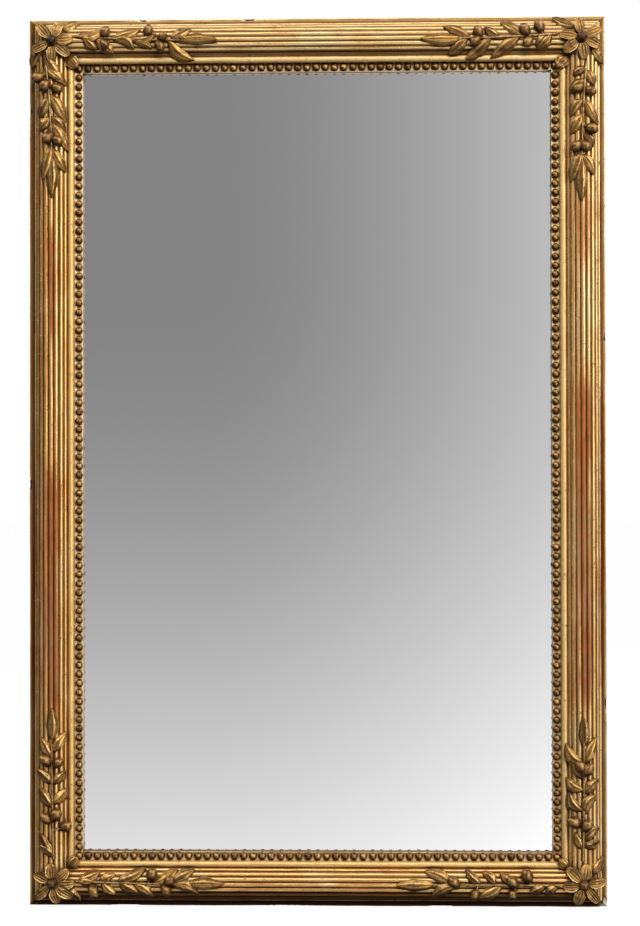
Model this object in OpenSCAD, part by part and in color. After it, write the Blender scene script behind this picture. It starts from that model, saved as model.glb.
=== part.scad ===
// Pier mirror: a gilded, reeded frame with a beaded sight edge, corner rosettes and laurel sprays,
// a silvered plate in its rebate and a panelled pine back with let-in hanging rings.
// Millimetres. The origin is the centre of the flat back, on the wall. X is right, Z is up and
// the front faces -Y. Pieces are drawn as seen from the front (x right, y up, z out of the wall)
// and turned upright at the end.

/* [Frame] */
// Overall width
frame_w = 1000; // [850:10:1300]
// Overall height
frame_h = 1540; // [1300:10:2000]
// Height of the outer side above the wall
side_h = 40; // [36:1:46]
// Height of the middle reed above the wall
crest_h = 68; // [66:1:76]

/* [Moulding section] */
// Flat fillet along the outer edge
fillet_w = 2.5; // [1:0.5:5]
// Radius of the cove inside the fillet
cove_r = 8; // [6:0.5:9]
// Number of reeds across the hump
reed_count = 7; // [5:2:9]
// Radius of each reed
reed_r = 5.2; // [5:0.1:5.6]
// Radius of the arc that the reed centres lie on
reed_orbit = 28.5; // [27:0.5:30]
// Angle between neighbouring reeds
reed_step = 17; // [15:0.5:18]
// Radius of the burnished round inside the reeds
round_r = 6; // [5.5:0.25:7]
// Height of the bead ledge above the wall
ledge_h = 42; // [41:0.5:46]
// Thickness of the lip that covers the glass
lip_t = 10; // [8:0.5:12]

/* [Beads] */
// Radius of a bead
bead_r = 5.8; // [4.5:0.1:6]
// Wanted distance between beads
bead_pitch = 15.8; // [13:0.1:20]
// Width of the strip that carries the beads
strip_w = 12.4; // [12.2:0.1:15]
// Thickness of the bead strip
strip_t = 1.5; // [1:0.25:3]

/* [Glass and back] */
// How far the lip covers the glass
glass_cover = 12; // [8:0.5:14]
// Thickness of the mirror plate
glass_t = 5; // [3:0.5:6]
// Play round the mirror plate
glass_gap = 2; // [1:0.5:4]
// Thickness of the panelled back
back_t = 16; // [14:1:18]
// Width of the step that the back is screwed to
back_step = 15; // [13:0.5:18]
// Width of the stiles and rails of the back
back_member_w = 90; // [70:5:120]
// Thickness of the panels
panel_t = 6; // [5:0.5:8]
// Depth of the grooves for the panels
groove_d = 9; // [7:0.5:12]

/* [Rosettes and sprays] */
// Radius of the ball in each rosette
boss_r = 7.7; // [6:0.1:9]
// Distance of each rosette's centre from both outer edges
rosette_in = 44; // [43:0.5:48]
// Height of the seat of the ball above the middle reed
rosette_rise = 8; // [7:0.5:12]
// Radius of a stem
stem_r = 2.4; // [1.8:0.1:3]

/* [Hanging rings] */
// Height of the ring hinges above the middle of the frame
ring_z = 330; // [200:10:450]
// Radius of the ring wire
wire_r = 3; // [2.5:0.1:3.5]
// Distance between the two sides of a ring, centre to centre
ring_w = 36; // [32:1:42]
// Straight length of the ring's sides
ring_side = 8; // [6:1:14]
// Width of the hanger plate and its eye
plate_w = 24; // [20:1:26]
// Length of the hanger plate below its eye
plate_l = 62; // [56:1:70]
// Thickness of the hanger plate
plate_t = 2.5; // [2:0.5:3]

/* [Hidden] */
$fn = 48;
SIDES = ["bottom", "right", "top", "left"];
CORNERS = ["bottom_left", "bottom_right", "top_right", "top_left"];
SPRAYS = ["bottom_left_across", "bottom_left_up", "bottom_right_across", "bottom_right_up",
          "top_right_across", "top_right_down", "top_left_across", "top_left_down"];

// Colours
gilt_colour = [0.72, 0.53, 0.27];
bead_colour = [0.49, 0.36, 0.22];
petal_colour = [0.64, 0.49, 0.28];
leaf_colour = [0.55, 0.43, 0.27];
ball_colour = [0.27, 0.16, 0.08];

// Clearances
glue_gap = 0.1;     // between glued pieces that are cut to each other
mitre_lap = 0.05;   // what ornaments are cut to reaches this far across each mitre
seat_gap = 0.1;     // under the ornaments, above the reeds
fit_gap = 0.1;      // round panels and tongues in their grooves
screw_gap = 0.05;   // round a screw in its pilot hole
hinge_gap = 0.06;   // round the ring's bar in its eye
over = 1;           // how far a cut runs past the face that it opens

// Section of the moulding: u runs inward from the outer edge, h out from the wall
core_over = 2;         // the core reaches this far past the middles of the reeds
core_r = reed_orbit + core_over;
fan = reed_step * (reed_count - 1) / 2;
hump_u = fillet_w + cove_r + core_r;
hump_h = crest_h - reed_orbit - reed_r;
crest_r = reed_orbit + reed_r;
rosette_h = crest_h + rosette_rise;
round_overlap = 0.75;
round_u = hump_u + reed_orbit * sin(fan) + reed_r + round_r - round_overlap;
round_rise = 2;        // the round stands this far above the ledge
round_h = ledge_h + round_r + round_rise;
round_foot = 0.8;
quirk_w = 0.6;
lip_edge = 0.4;
ledge_u = round_u + round_r;
strip_u = ledge_u + quirk_w;
rail_w = strip_u + strip_w + lip_edge;
bead_u = strip_u + strip_w / 2;
bead_rise = 1;
web_h = side_h + cove_r;
web_drop = 0.5;       // the web falls this much towards the round
core_bury = 2;        // the core of the hump reaches this far below the side's top
glass_h = ledge_h - lip_t;
glass_u = rail_w - glass_cover;
back_u = glass_u - back_step;

// How ornaments follow the hump: round within this share of its radius, then sloping
lie_hold = 0.72;
lie_inner_slope = 0.25;
lie_outer_slope = 0.7;

// Mirror plate and what holds it
plate_glass_w = frame_w - 2 * (glass_u + glass_gap);
plate_glass_h = frame_h - 2 * (glass_u + glass_gap);
block_l = 60;
block_w = 16;
block_t = glass_h - glass_t - back_t;
pad_l = 50;

// Panelled back
back_gap = 1;
back_w = frame_w - 2 * (back_u + back_gap);
back_h = frame_h - 2 * (back_u + back_gap);
opening_w = back_w - 2 * back_member_w;
opening_h = (back_h - 3 * back_member_w) / 2;
panel_play = 1;
groove_w = panel_t + 2 * fit_gap;

// Countersunk wood screws
screw_r = 2;
head_r = 4.2;
head_t = 2.4;
screw_u = back_u + back_step / 2;
screw_bite = 18;       // a back screw enters the moulding this far
back_screw_l = back_t + screw_bite;
hanger_screw_l = 24;
upright_screws = 5;
cross_screws = 4;
screw_inset = 45;      // the outermost screws are this far inside the stiles and rails
screw_tip = 3;

// Corner keys, let into the back across each mitre
key_l = 56;
key_end = 24;
key_waist = 13;
key_t = 8;
key_in = back_u / 2;

// Hanging rings in their pockets
leg_r = wire_r + 0.1;  // the bent wire is left a little thicker than the bar in the eye
leg_over = leg_r + 0.3; // the ring's sides run this far above its bar
eye_wall = 2.5;
eye_r = wire_r + eye_wall;
eye_sunk = 1;          // the eye lies this far below the back
ring_rest_gap = 0.4;   // between the hanging ring and its plate
eye_h = eye_sunk + eye_r;
plate_front = eye_h + leg_r + ring_rest_gap;
pocket_d = plate_front + plate_t;
pocket_side = 10;      // room for a cord beside the ring
pocket_w = ring_w + 2 * pocket_side;
ring_drop = ring_side + ring_w / 2 + leg_r;
plate_end_gap = 4;     // between the plate's end and the pocket's
ring_end_gap = 6;      // between the ring, swung up, and the pocket's end
pocket_below = plate_l + plate_end_gap;
pocket_above = ring_drop + ring_end_gap;
ring_u = back_u / 2;
plate_hole_first = 14;   // from the hinge to the first hole
plate_hole_last = 12;    // from the last hole to the plate's end
plate_hole_end = plate_l - plate_hole_last;
plate_holes = [plate_hole_first, (plate_hole_first + plate_hole_end) / 2, plate_hole_end];

// Sprays, in the order of SPRAYS. Places along a spray are counted from its first leaf, just past the
// rosette. How far each stem starts inward (+) or outward (-) of the line that it settles on:
stem_bend = [4, 3, 0, 2, -6, -8, -8, -10];

// Leaves: [place along the spray, side, length, angle from the stem], with side 1 towards the glass,
// -1 towards the outer edge and 0 straight on. The last leaf of each spray is its tip.
leaves = [
    [[0, 1, 40, 25], [0, 0, 25, 0], [35, 1, 30, 25], [40, -1, 30, 40], [65, 1, 55, 25], [70, -1, 35, 25],
     [95, -1, 40, 35], [130, 1, 45, 30], [160, 1, 45, 30], [160, -1, 50, 20], [185, 0, 65, 0]],
    [[0, -1, 45, 30], [0, -1, 30, 55], [85, -1, 40, 35], [90, 1, 35, 45], [125, -1, 35, 50],
     [125, 1, 30, 45], [155, -1, 25, 50], [170, -1, 40, 30], [180, 1, 40, 35], [200, 0, 55, 0]],
    [[0, -1, 25, 40], [20, -1, 30, 25], [80, 1, 25, 50], [95, -1, 45, 30], [105, 1, 30, 45],
     [130, 1, 35, 45], [175, -1, 45, 30], [180, 1, 50, 25], [210, 0, 65, 0]],
    [[15, 1, 30, 25], [20, -1, 30, 75], [30, -1, 35, 55], [75, -1, 40, 35], [80, 1, 40, 35],
     [110, -1, 35, 45], [115, 1, 35, 55], [135, 1, 35, 35], [160, -1, 50, 25], [160, 1, 45, 40],
     [190, 0, 50, 0]],
    [[5, 1, 35, 45], [15, 1, 25, 50], [55, -1, 45, 35], [60, 1, 60, 35], [95, -1, 30, 35],
     [110, 1, 55, 40], [145, -1, 50, 25], [150, 1, 40, 40], [155, 0, 75, 0]],
    [[5, 1, 25, 60], [10, -1, 30, 30], [25, 1, 35, 45], [60, 1, 35, 35], [60, -1, 50, 30],
     [85, 1, 40, 30], [120, -1, 30, 30], [150, 1, 55, 20], [155, -1, 40, 30], [160, 0, 75, 0]],
    [[0, -1, 45, 15], [10, 1, 30, 45], [30, 1, 40, 40], [60, -1, 50, 20], [60, 1, 40, 25],
     [90, -1, 45, 10], [95, 1, 35, 25], [155, 1, 55, 35], [160, -1, 40, 30], [170, 0, 70, 0]],
    [[0, 1, 30, 50], [5, 1, 40, 55], [45, 1, 55, 30], [50, -1, 40, 25], [85, -1, 30, 40],
     [85, 1, 35, 45], [95, 1, 55, 30], [135, -1, 60, 15], [140, 1, 45, 30], [150, 0, 75, 0]]];

// Berries: [place along the spray, distance inward from the stem, radius]
berries = [
    [[25, -15, 10], [125, 15, 10], [150, -10, 9], [155, 5, 9]],
    [[50, 20, 10], [65, -10, 10], [70, 5, 11], [160, 10, 9], [165, -10, 10]],
    [[50, 15, 11], [75, 5, 10], [75, -15, 8], [140, -15, 8], [175, 5, 10]],
    [[55, -5, 10], [60, 15, 11], [150, -5, 11], [155, 5, 10]],
    [[25, -15, 10], [50, -10, 10], [45, 10, 9], [130, -10, 9], [135, 5, 9]],
    [[40, 10, 9], [45, -10, 9], [110, -15, 10], [140, 10, 10], [140, -5, 9]],
    [[45, -10, 9], [45, 10, 8], [120, -15, 9], [145, -5, 8], [140, 10, 9]],
    [[15, -15, 10], [30, -5, 10], [35, 15, 9], [120, -5, 10], [125, 10, 9]]];

// Where a spray lies
spray_in = 46;                   // its first leaf, from the rosette's centre
spray_start = rosette_in + spray_in;
stem_lead = 6;                   // the stem starts this far before the first leaf
stem_tail = 10;                  // and ends this far under the tip leaf
stem_line = hump_u + 2;          // the line that the stems settle on
stem_steps = 4;
stem_rise = 0.4 * stem_r;        // height of the stem's middle above the reeds

// Shape of a leaf: shares of its length, and there its width, the rise of its rib and its depth
leaf_at = [0, 0.2, 0.5, 0.8, 1];
leaf_wide = [0.35, 0.8, 1, 0.62, 0.08];
leaf_lift = [2, 4.5, 6, 5, 3.4];
leaf_base_w = 9;      // width of a leaf is this and a share of its length
leaf_plump = 0.15;
leaf_root = 1;        // its root is this far to its own side of the stem
leaf_fold = 2;        // its edges lie this far below the rib
leaf_sink = 3;        // its seated part reaches this far into the reeds, and is cut to them
leaf_seated = 3;      // how many of the rings are seated
leaf_thin = 2.6;      // thickness of its free end

// Shape of a berry, as shares of its radius, and its stalk
berry_rise = 0.55;
berry_long = 0.22;
berry_slim = 0.9;
stalk_back = 6;       // the stalk's foot is this far back along the stem

// Rosettes: each petal is [angle, length], counted anticlockwise from the right as seen from the front
petals = [
    [[0, 38], [40, 36], [95, 34], [155, 36], [220, 42], [285, 36], [325, 42]],
    [[10, 38], [80, 36], [135, 40], [185, 36], [250, 36], [310, 40]],
    [[25, 38], [100, 34], [170, 38], [220, 38], [280, 38], [335, 38]],
    [[10, 36], [65, 36], [130, 40], [205, 38], [270, 38], [320, 38]]];
// The two lobes of a petal: [distance to the side, depth below the ball's seat, radius]
petal_base = 8;
petal_root = [1.2, 5, 2.6];
petal_belly = [4.2, 5.5, 4.3];
petal_tip = [1.6, 9, 2.6];
belly_at = 0.52;      // share of the petal's length
tip_back = 3;         // the tip lobe's middle is this far short of the petal's end
hub_r = 11;
boss_rise = 3.5;      // height of the ball's middle above its seat
boss_seat = 2;        // the flat seat is this much larger than the ball, in radius

// Mitre leaves: [distance from the rosette's centre, angle, length, width]
mitre_leaf = [[36, 45, 26, 18], [36, 135, 24, 14], [36, 230, 28, 20], [36, 315, 26, 20]];
mitre_lobes = 4;
mitre_leaf_drop = 10; // its edges lie this far below the middle reed
mitre_leaf_h = crest_h - mitre_leaf_drop;
mitre_leaf_arch = 5;  // rise of its rib
mitre_leaf_deep = 6;  // its keel passes over the corner bead
mitre_rib_r = 1.6;
mitre_edge_r = 1.4;

// ---------- places ----------

// Length of a side, and how far its outer edge is from the middle
function side_len(i) = i % 2 == 0 ? frame_w : frame_h;
function side_out(i) = i % 2 == 0 ? frame_h / 2 : frame_w / 2;
// Inward directions at a corner, as seen from the front
function in_x(corner) = corner == 0 || corner == 3 ? 1 : -1;
function in_y(corner) = corner < 2 ? 1 : -1;

// Turns a drawing of the front view upright
module upright() {
    rotate([90, 0, 0]) children();
}

// Puts children on one side: x along it from its middle, y inward from the outer edge, z out
module on_side(i) {
    rotate([0, 0, 90 * i]) translate([0, -side_out(i), 0]) children();
}

// Puts children at a rosette's centre, with x right and y up
module at_rosette(corner) {
    translate([in_x(corner) * (rosette_in - frame_w / 2), in_y(corner) * (rosette_in - frame_h / 2), 0])
        children();
}

// Puts children at an outer corner: x along one rail, y inward across it
module from_corner(corner, upward) {
    sx = in_x(corner);
    sy = in_y(corner);
    m = upward ? [[0, sx, 0, -sx * frame_w / 2], [sy, 0, 0, -sy * frame_h / 2], [0, 0, 1, 0]]
               : [[sx, 0, 0, -sx * frame_w / 2], [0, sy, 0, -sy * frame_h / 2], [0, 0, 1, 0]];
    multmatrix(m) children();
}

// Keeps what lies between the two mitres of a side, and lap beyond them
module mitred(i, lap = 0, spare = 5) {
    reach = side_len(i) / 2 + lap;
    deep = rail_w + spare;
    intersection() {
        children();
        linear_extrude(crest_h + spare)
            polygon([[-reach - spare, -spare], [reach + spare, -spare],
                     [reach - deep, deep], [-reach + deep, deep]]);
    }
}

// Extrudes a section, drawn as (u, h), along a side
module along_side(i) {
    rotate([90, 0, 90]) linear_extrude(side_len(i) + 2 * rail_w, center = true) children();
}

// ---------- moulding ----------

// The stepped body: outer side, fillet, cove, bead ledge and both rebates
module body_section() {
    difference() {
        polygon([[0, 0], [0, side_h], [fillet_w, side_h], [fillet_w, web_h],
                 [hump_u, web_h], [round_u + round_r - round_foot, web_h - web_drop],
                 [round_u + round_r - round_foot, ledge_h], [rail_w, ledge_h], [rail_w, glass_h],
                 [glass_u, glass_h], [glass_u, back_t], [back_u, back_t], [back_u, 0]]);
        translate([fillet_w, web_h]) circle(cove_r);
    }
}

// The round core under the reeds
module core_section() {
    difference() {
        translate([hump_u, hump_h]) circle(core_r);
        square([rail_w, side_h - core_bury]);
    }
}

// Middle of a reed, counted from the crest
function reed_at(k) = [hump_u, hump_h] + reed_orbit * [sin(k * reed_step), cos(k * reed_step)];

// The wood under the quirk between the innermost reed and the round
module quirk_section() {
    reed = reed_at((reed_count - 1) / 2);
    foot = web_h - core_bury;
    polygon([[reed[0], foot], reed, [round_u, round_h], [round_u, foot]]);
}

module rail(i) {
    along_side(i) body_section();
    along_side(i) core_section();
    along_side(i) quirk_section();
    for (k = [-(reed_count - 1) / 2 : (reed_count - 1) / 2])
        along_side(i) translate(reed_at(k)) circle(reed_r);
    along_side(i) translate([round_u, round_h]) circle(round_r);
}

// Points along a side where the back is screwed on, counted from its middle
function screw_places(i) =
    let (n = i % 2 == 0 ? cross_screws : upright_screws,
         reach = side_len(i) / 2 - back_u - back_member_w - screw_inset)
    [for (k = [0 : n - 1]) -reach + k * 2 * reach / (n - 1)];

// Which end of a side has a ring: the uprights only
function ring_along(i) = i == 1 ? ring_z : -ring_z;

module moulding(i) {
    color(gilt_colour) upright() difference() {
        on_side(i) mitred(i) rail(i);
        corner_keys_at(i, glue_gap);
        corner_keys_at((i + 1) % 4, glue_gap);
        on_side(i) for (s = screw_places(i))
            translate([s, screw_u, back_t - over])
                cylinder(r = screw_r + screw_gap, h = screw_bite + 2 * over);
        if (i % 2 == 1) {
            on_side(i) translate([ring_along(i), 0, 0]) turn_up(i) {
                translate([ring_u - pocket_w / 2, -pocket_below, -over])
                    cube([pocket_w, pocket_below + pocket_above, pocket_d + over]);
                for (d = plate_holes)
                    translate([ring_u, -d, pocket_d - over])
                        cylinder(r = screw_r + screw_gap, h = hanger_screw_l);
            }
        }
    }
}

// On an upright, turns the drawing so that y is up and x is inward from the outer edge
module turn_up(i) {
    way = i == 1 ? 1 : -1;
    multmatrix([[0, way, 0, 0], [1, 0, 0, 0], [0, 0, 1, 0]])
        children();
}

// Double-dovetail key across the mitre at one corner, grown by gap for its pocket
module corner_keys_at(corner, gap = 0) {
    l = key_l / 2 + gap;
    e = key_end / 2 + gap;
    w = key_waist / 2 + gap;
    d = key_in;
    translate([in_x(corner) * (d - frame_w / 2), in_y(corner) * (d - frame_h / 2), gap > 0 ? -over : 0])
        rotate([0, 0, in_x(corner) * in_y(corner) > 0 ? -45 : 45])
            linear_extrude(key_t + gap + (gap > 0 ? over : 0))
                polygon([[-l, -e], [0, -w], [l, -e], [l, e], [0, w], [-l, e]]);
}

module corner_key(corner) {
    color("peru") upright() corner_keys_at(corner);
}

// ---------- beads ----------

module bead() {
    rotate_extrude() intersection() {
        translate([0, bead_rise]) circle(bead_r);
        square(2 * bead_r + bead_rise);
    }
}

module bead_strip(i) {
    run = side_len(i) - 2 * bead_u;
    n = round(run / bead_pitch);
    step = run / n;
    first = i % 2 == 1 ? 0 : 1;
    color(bead_colour) upright() on_side(i) {
        mitred(i) translate([-side_len(i) / 2, strip_u, ledge_h]) cube([side_len(i), strip_w, strip_t]);
        for (k = [first : n - first])
            translate([-run / 2 + k * step, bead_u, ledge_h + strip_t]) bead();
    }
}

// ---------- rosettes, leaves and sprays ----------

// Height of the surface that an ornament lies on, at u from the outer edge
function lie(u) =
    let (d = u - hump_u, hold = lie_hold * crest_r, c = max(-hold, min(hold, d)), beyond = abs(d) - abs(c))
    hump_h + sqrt(crest_r * crest_r - c * c) - beyond * (d > 0 ? lie_inner_slope : lie_outer_slope);

// What the ornaments are cut to: the crests of the moulding, with the seat gap
module seat(i) {
    along_side(i) {
        translate([hump_u, hump_h]) circle(crest_r + seat_gap, $fn = 72);
        translate([round_u, round_h]) circle(round_r + seat_gap, $fn = 24);
        square([hump_u, web_h + seat_gap]);
        square([rail_w, web_h - web_drop + seat_gap]);
    }
}

// The same crests where two sides meet at a corner
module corner_seat(corner) {
    for (i = [corner, (corner + 3) % 4])
        on_side(i) mitred(i, mitre_lap) seat(i);
}

// A ring of four points across a leaf: left edge, midrib, right edge and keel
function leaf_ring(p, across, rib, edge, keel) =
    [[p[0] - across[0], p[1] - across[1], edge[0]], [p[0], p[1], rib],
     [p[0] + across[0], p[1] + across[1], edge[1]], [p[0], p[1], keel]];

// A folded leaf as one closed solid, from rings
module ringed(rings) {
    n = len(rings);
    points = [for (r = rings) each r];
    sides = [for (k = [0 : n - 2], j = [0 : 3])
        let (a = 4 * k + j, b = 4 * k + (j + 1) % 4)
        each [[a, b, b + 4], [a, b + 4, a + 4]]];
    last = 4 * (n - 1);
    ends = [[0, 2, 1], [0, 3, 2], [last, last + 1, last + 2], [last, last + 2, last + 3]];
    polyhedron(points, concat(sides, ends));
}

// A leaf that lies on a rail, in that rail's (along, across) coordinates
module rail_leaf(v) {
    a = [v[0], v[1]];
    d = [v[2], v[3]] - a;
    n = [-d[1], d[0]] / norm(d);
    ringed([for (k = [0 : len(leaf_at) - 1])
        let (p = a + leaf_at[k] * d,
             w = leaf_wide[k] * v[4] / 2 * n,
             rib = lie(p[1]) + leaf_lift[k],
             edge = [for (e = [-1, 1]) lie(p[1] + e * w[1]) + leaf_lift[k] - leaf_fold],
             keel = k < leaf_seated ? rib - leaf_lift[k] - leaf_sink : rib - leaf_thin)
        leaf_ring(p, w, rib, edge, keel)]);
}

// How far inward the stem of spray k runs, at s along the spray
function stem_end(k) = leaves[k][len(leaves[k]) - 1][0] + stem_tail;
function stem_across(k, s) =
    let (left = max(0, 1 - (s + stem_lead) / (stem_end(k) + stem_lead)))
    stem_line + stem_bend[k] * left * left;

// A leaf of spray k as [along, across, along, across, width] from root to tip
function leaf_place(k, v) =
    let (x = spray_start + v[0], y = stem_across(k, v[0]) + v[1] * leaf_root)
    [x, y, x + v[2] * cos(v[3]), y + v[1] * v[2] * sin(v[3]), leaf_base_w + leaf_plump * v[2]];

// A ball with a short stalk to the stem
module rail_berry(k, v) {
    y = stem_across(k, v[0]) + v[1];
    foot_y = stem_across(k, v[0] - stalk_back);
    top = [spray_start + v[0], y, lie(y) + berry_rise * v[2]];
    foot = [spray_start + v[0] - stalk_back, foot_y, lie(foot_y) + stem_r / 2];
    way = [top[0] - foot[0], top[1] - foot[1], 0] / norm([top[0] - foot[0], top[1] - foot[1]]);
    hull() {
        translate(top) sphere(v[2], $fn = 10);
        translate(top + berry_long * v[2] * way) sphere(berry_slim * v[2], $fn = 10);
    }
    hull() {
        translate(top) sphere(stem_r / 2, $fn = 5);
        translate(foot) sphere(stem_r / 2, $fn = 5);
    }
}

module stem(k) {
    step = (stem_end(k) + stem_lead) / stem_steps;
    for (j = [0 : stem_steps - 1])
        hull() for (s = [j, j + 1] * step - [1, 1] * stem_lead)
            translate([spray_start + s, stem_across(k, s), lie(stem_across(k, s)) + stem_rise])
                sphere(stem_r, $fn = 6);
}

// Lobes of a petal, grown by gap where something is cut to it
module petal(length, gap = 0) {
    belly = petal_base + belly_at * (length - petal_base);
    for (side = [-1, 1])
        hull() {
            lobe(petal_base, side, petal_root, gap, 6);
            lobe(belly, side, petal_belly, gap, 8);
            lobe(length - tip_back, side, petal_tip, gap, 6);
        }
}

module lobe(at, side, v, gap, fn) {
    translate([at, side * v[0], rosette_h - v[1]]) sphere(v[2] + gap, $fn = fn);
}

module rosette_body(corner, gap = 0) {
    for (p = petals[corner]) rotate([0, 0, p[0]]) petal(p[1], gap);
    translate([0, 0, side_h]) cylinder(r = hub_r + gap, h = rosette_h - side_h, $fn = 24);
}

module rosette(corner) {
    color(petal_colour) upright() difference() {
        at_rosette(corner) difference() {
            rosette_body(corner);
            translate([0, 0, rosette_h]) cylinder(r = boss_r + boss_seat, h = 2 * boss_r, $fn = 24);
        }
        corner_seat(corner);
    }
}

module rosette_ball(corner) {
    color(ball_colour) upright() at_rosette(corner) translate([0, 0, rosette_h])
        rotate_extrude() intersection() {
            translate([0, boss_rise]) circle(boss_r);
            square(2 * boss_r + boss_rise);
        }
}

module mitre_leaf_solid(corner) {
    v = mitre_leaf[corner];
    rotate([0, 0, v[1]]) for (k = [0 : mitre_lobes - 1], side = [-1, 1])
        hull() for (t = [k, k + 1] / mitre_lobes)
            translate([v[0] + t * v[2], 0, mitre_leaf_h]) {
                translate([0, 0, mitre_leaf_arch * sin(140 * t + 20)]) sphere(mitre_rib_r, $fn = 6);
                translate([0, side * leaf_profile(t) * v[3] / 2, -over]) sphere(mitre_edge_r, $fn = 5);
                translate([0, 0, -mitre_leaf_deep]) sphere(mitre_edge_r, $fn = 5);
            }
}
function leaf_profile(t) = lookup(t, [[0, 0.4], [0.3, 0.9], [0.5, 1], [0.8, 0.6], [1, 0.1]]);

module mitre_leaf_piece(corner) {
    color(petal_colour) upright() difference() {
        at_rosette(corner) mitre_leaf_solid(corner);
        corner_seat(corner);
        at_rosette(corner) rosette_body(corner, glue_gap);
    }
}

// Corner and direction of each spray
function spray_corner(k) = floor(k / 2);
function spray_upward(k) = k % 2 == 1;
function spray_side(k) = let (c = spray_corner(k))
    spray_upward(k) ? (c == 0 || c == 3 ? 3 : 1) : (c < 2 ? 0 : 2);

module spray(k) {
    corner = spray_corner(k);
    color(leaf_colour) upright() difference() {
        from_corner(corner, spray_upward(k)) {
            for (v = leaves[k]) rail_leaf(leaf_place(k, v));
            for (v = berries[k]) rail_berry(k, v);
            stem(k);
        }
        on_side(spray_side(k)) seat(spray_side(k));
        at_rosette(corner) rosette_body(corner, glue_gap);
    }
}

// ---------- mirror plate ----------

module mirror_plate() {
    color("silver") upright()
        translate([-plate_glass_w / 2, -plate_glass_h / 2, glass_h - glass_t])
            cube([plate_glass_w, plate_glass_h, glass_t]);
}

module setting_pads() {
    color("tan") upright()
        for (x = [-1, 1] * plate_glass_w / 4)
            translate([x - pad_l / 2, -plate_glass_h / 2 - glass_gap, glass_h - glass_t])
                cube([pad_l, glass_gap, glass_t]);
}

module glass_blocks() {
    color("burlywood") upright()
        for (i = [0 : 3])
            on_side(i) for (s = block_places(i))
                translate([s - block_l / 2, glass_u, back_t]) cube([block_l, block_w, block_t]);
}

// Blocks stand between the screws
function block_places(i) = let (p = screw_places(i)) [for (k = [0 : len(p) - 2]) (p[k] + p[k + 1]) / 2];

// ---------- panelled back ----------

// A groove in an edge that lies along y = 0, with the wood on the +y side
module groove(length) {
    translate([-length / 2, -over, back_t / 2 - groove_w / 2]) cube([length, groove_d + over, groove_w]);
}

// Clearance holes and countersinks for the screws on every side
module back_screw_holes() {
    for (i = [0 : 3])
        on_side(i) for (s = screw_places(i))
            translate([s, screw_u, 0]) {
                translate([0, 0, -over]) cylinder(r = screw_r + screw_gap, h = back_t + 2 * over);
                countersink(screw_gap);
            }
}

// A screw head's hole, with its mouth at z = 0
module countersink(gap) {
    cylinder(r1 = head_r + 2 * gap, r2 = screw_r + 2 * gap, h = head_t);
}

// A countersunk screw that points to +z, with its flat head at z = 0
module wood_screw(length) {
    rotate_extrude()
        polygon([[0, 0], [head_r, 0], [screw_r, head_t], [screw_r, length - screw_tip], [0, length]]);
}

module back_stile(dir) {
    color("tan") upright() difference() {
        translate([dir > 0 ? back_w / 2 - back_member_w : -back_w / 2, -back_h / 2, 0])
            cube([back_member_w, back_h, back_t]);
        translate([dir * (back_w / 2 - back_member_w), 0, 0]) rotate([0, 0, -90 * dir])
            groove(back_h + 2 * over);
        back_screw_holes();
    }
}

// A cross rail with its stub tenons, grooved along the edges that face a panel
module back_rail(y, grooved_below, grooved_above) {
    tenon = groove_d - fit_gap;
    color("tan") upright() difference() {
        union() {
            translate([-opening_w / 2, y - back_member_w / 2, 0]) cube([opening_w, back_member_w, back_t]);
            translate([-opening_w / 2 - tenon, y - back_member_w / 2, back_t / 2 - panel_t / 2])
                cube([opening_w + 2 * tenon, back_member_w, panel_t]);
        }
        if (grooved_below) translate([0, y - back_member_w / 2, 0]) groove(opening_w + 2 * groove_d);
        if (grooved_above)
            translate([0, y + back_member_w / 2, 0]) rotate([0, 0, 180]) groove(opening_w + 2 * groove_d);
        back_screw_holes();
    }
}

module back_panel(y) {
    reach = groove_d - panel_play;
    color("burlywood") upright()
        translate([-opening_w / 2 - reach, y - opening_h / 2 - reach, back_t / 2 - panel_t / 2])
            cube([opening_w + 2 * reach, opening_h + 2 * reach, panel_t]);
}

module back_screws() {
    color("gray") upright()
        for (i = [0 : 3])
            on_side(i) for (s = screw_places(i))
                translate([s, screw_u, 0]) wood_screw(back_screw_l);
}

// ---------- hanging rings ----------

// Puts children at a ring's hinge on the back of an upright: x is right, y is up, z is out
module at_hinge(dir) {
    translate([dir * (frame_w / 2 - ring_u), ring_z, 0]) children();
}

module hanger_plate(dir) {
    color("dimgray") upright() at_hinge(dir) difference() {
        union() {
            translate([-plate_w / 2, -plate_l, plate_front]) cube([plate_w, plate_l, plate_t]);
            translate([0, 0, eye_h]) rotate([0, 90, 0]) cylinder(r = eye_r, h = plate_w, center = true);
        }
        translate([0, 0, eye_h]) rotate([0, 90, 0])
            cylinder(r = wire_r + hinge_gap, h = plate_w + 2 * over, center = true);
        for (d = plate_holes)
            translate([0, -d, plate_front]) {
                translate([0, 0, -over]) cylinder(r = screw_r + screw_gap, h = plate_t + 2 * over);
                countersink(screw_gap);
            }
    }
}

module hanger_ring(dir) {
    half = ring_w / 2;
    color("slategray") upright() at_hinge(dir) translate([0, 0, eye_h]) {
        rotate([0, 90, 0]) cylinder(r = wire_r, h = ring_w, center = true);
        for (x = [-half, half])
            translate([x, -ring_side, 0]) rotate([-90, 0, 0]) cylinder(r = leg_r, h = ring_side + leg_over);
        translate([0, -ring_side, 0]) rotate_extrude(angle = 180, start = 180)
            translate([half, 0]) circle(leg_r);
    }
}

module hanger_screws() {
    color("gray") upright()
        for (dir = [-1, 1])
            at_hinge(dir) for (d = plate_holes)
                translate([0, -d, plate_front]) wood_screw(hanger_screw_l);
}

// ---------- nodes ----------

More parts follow.
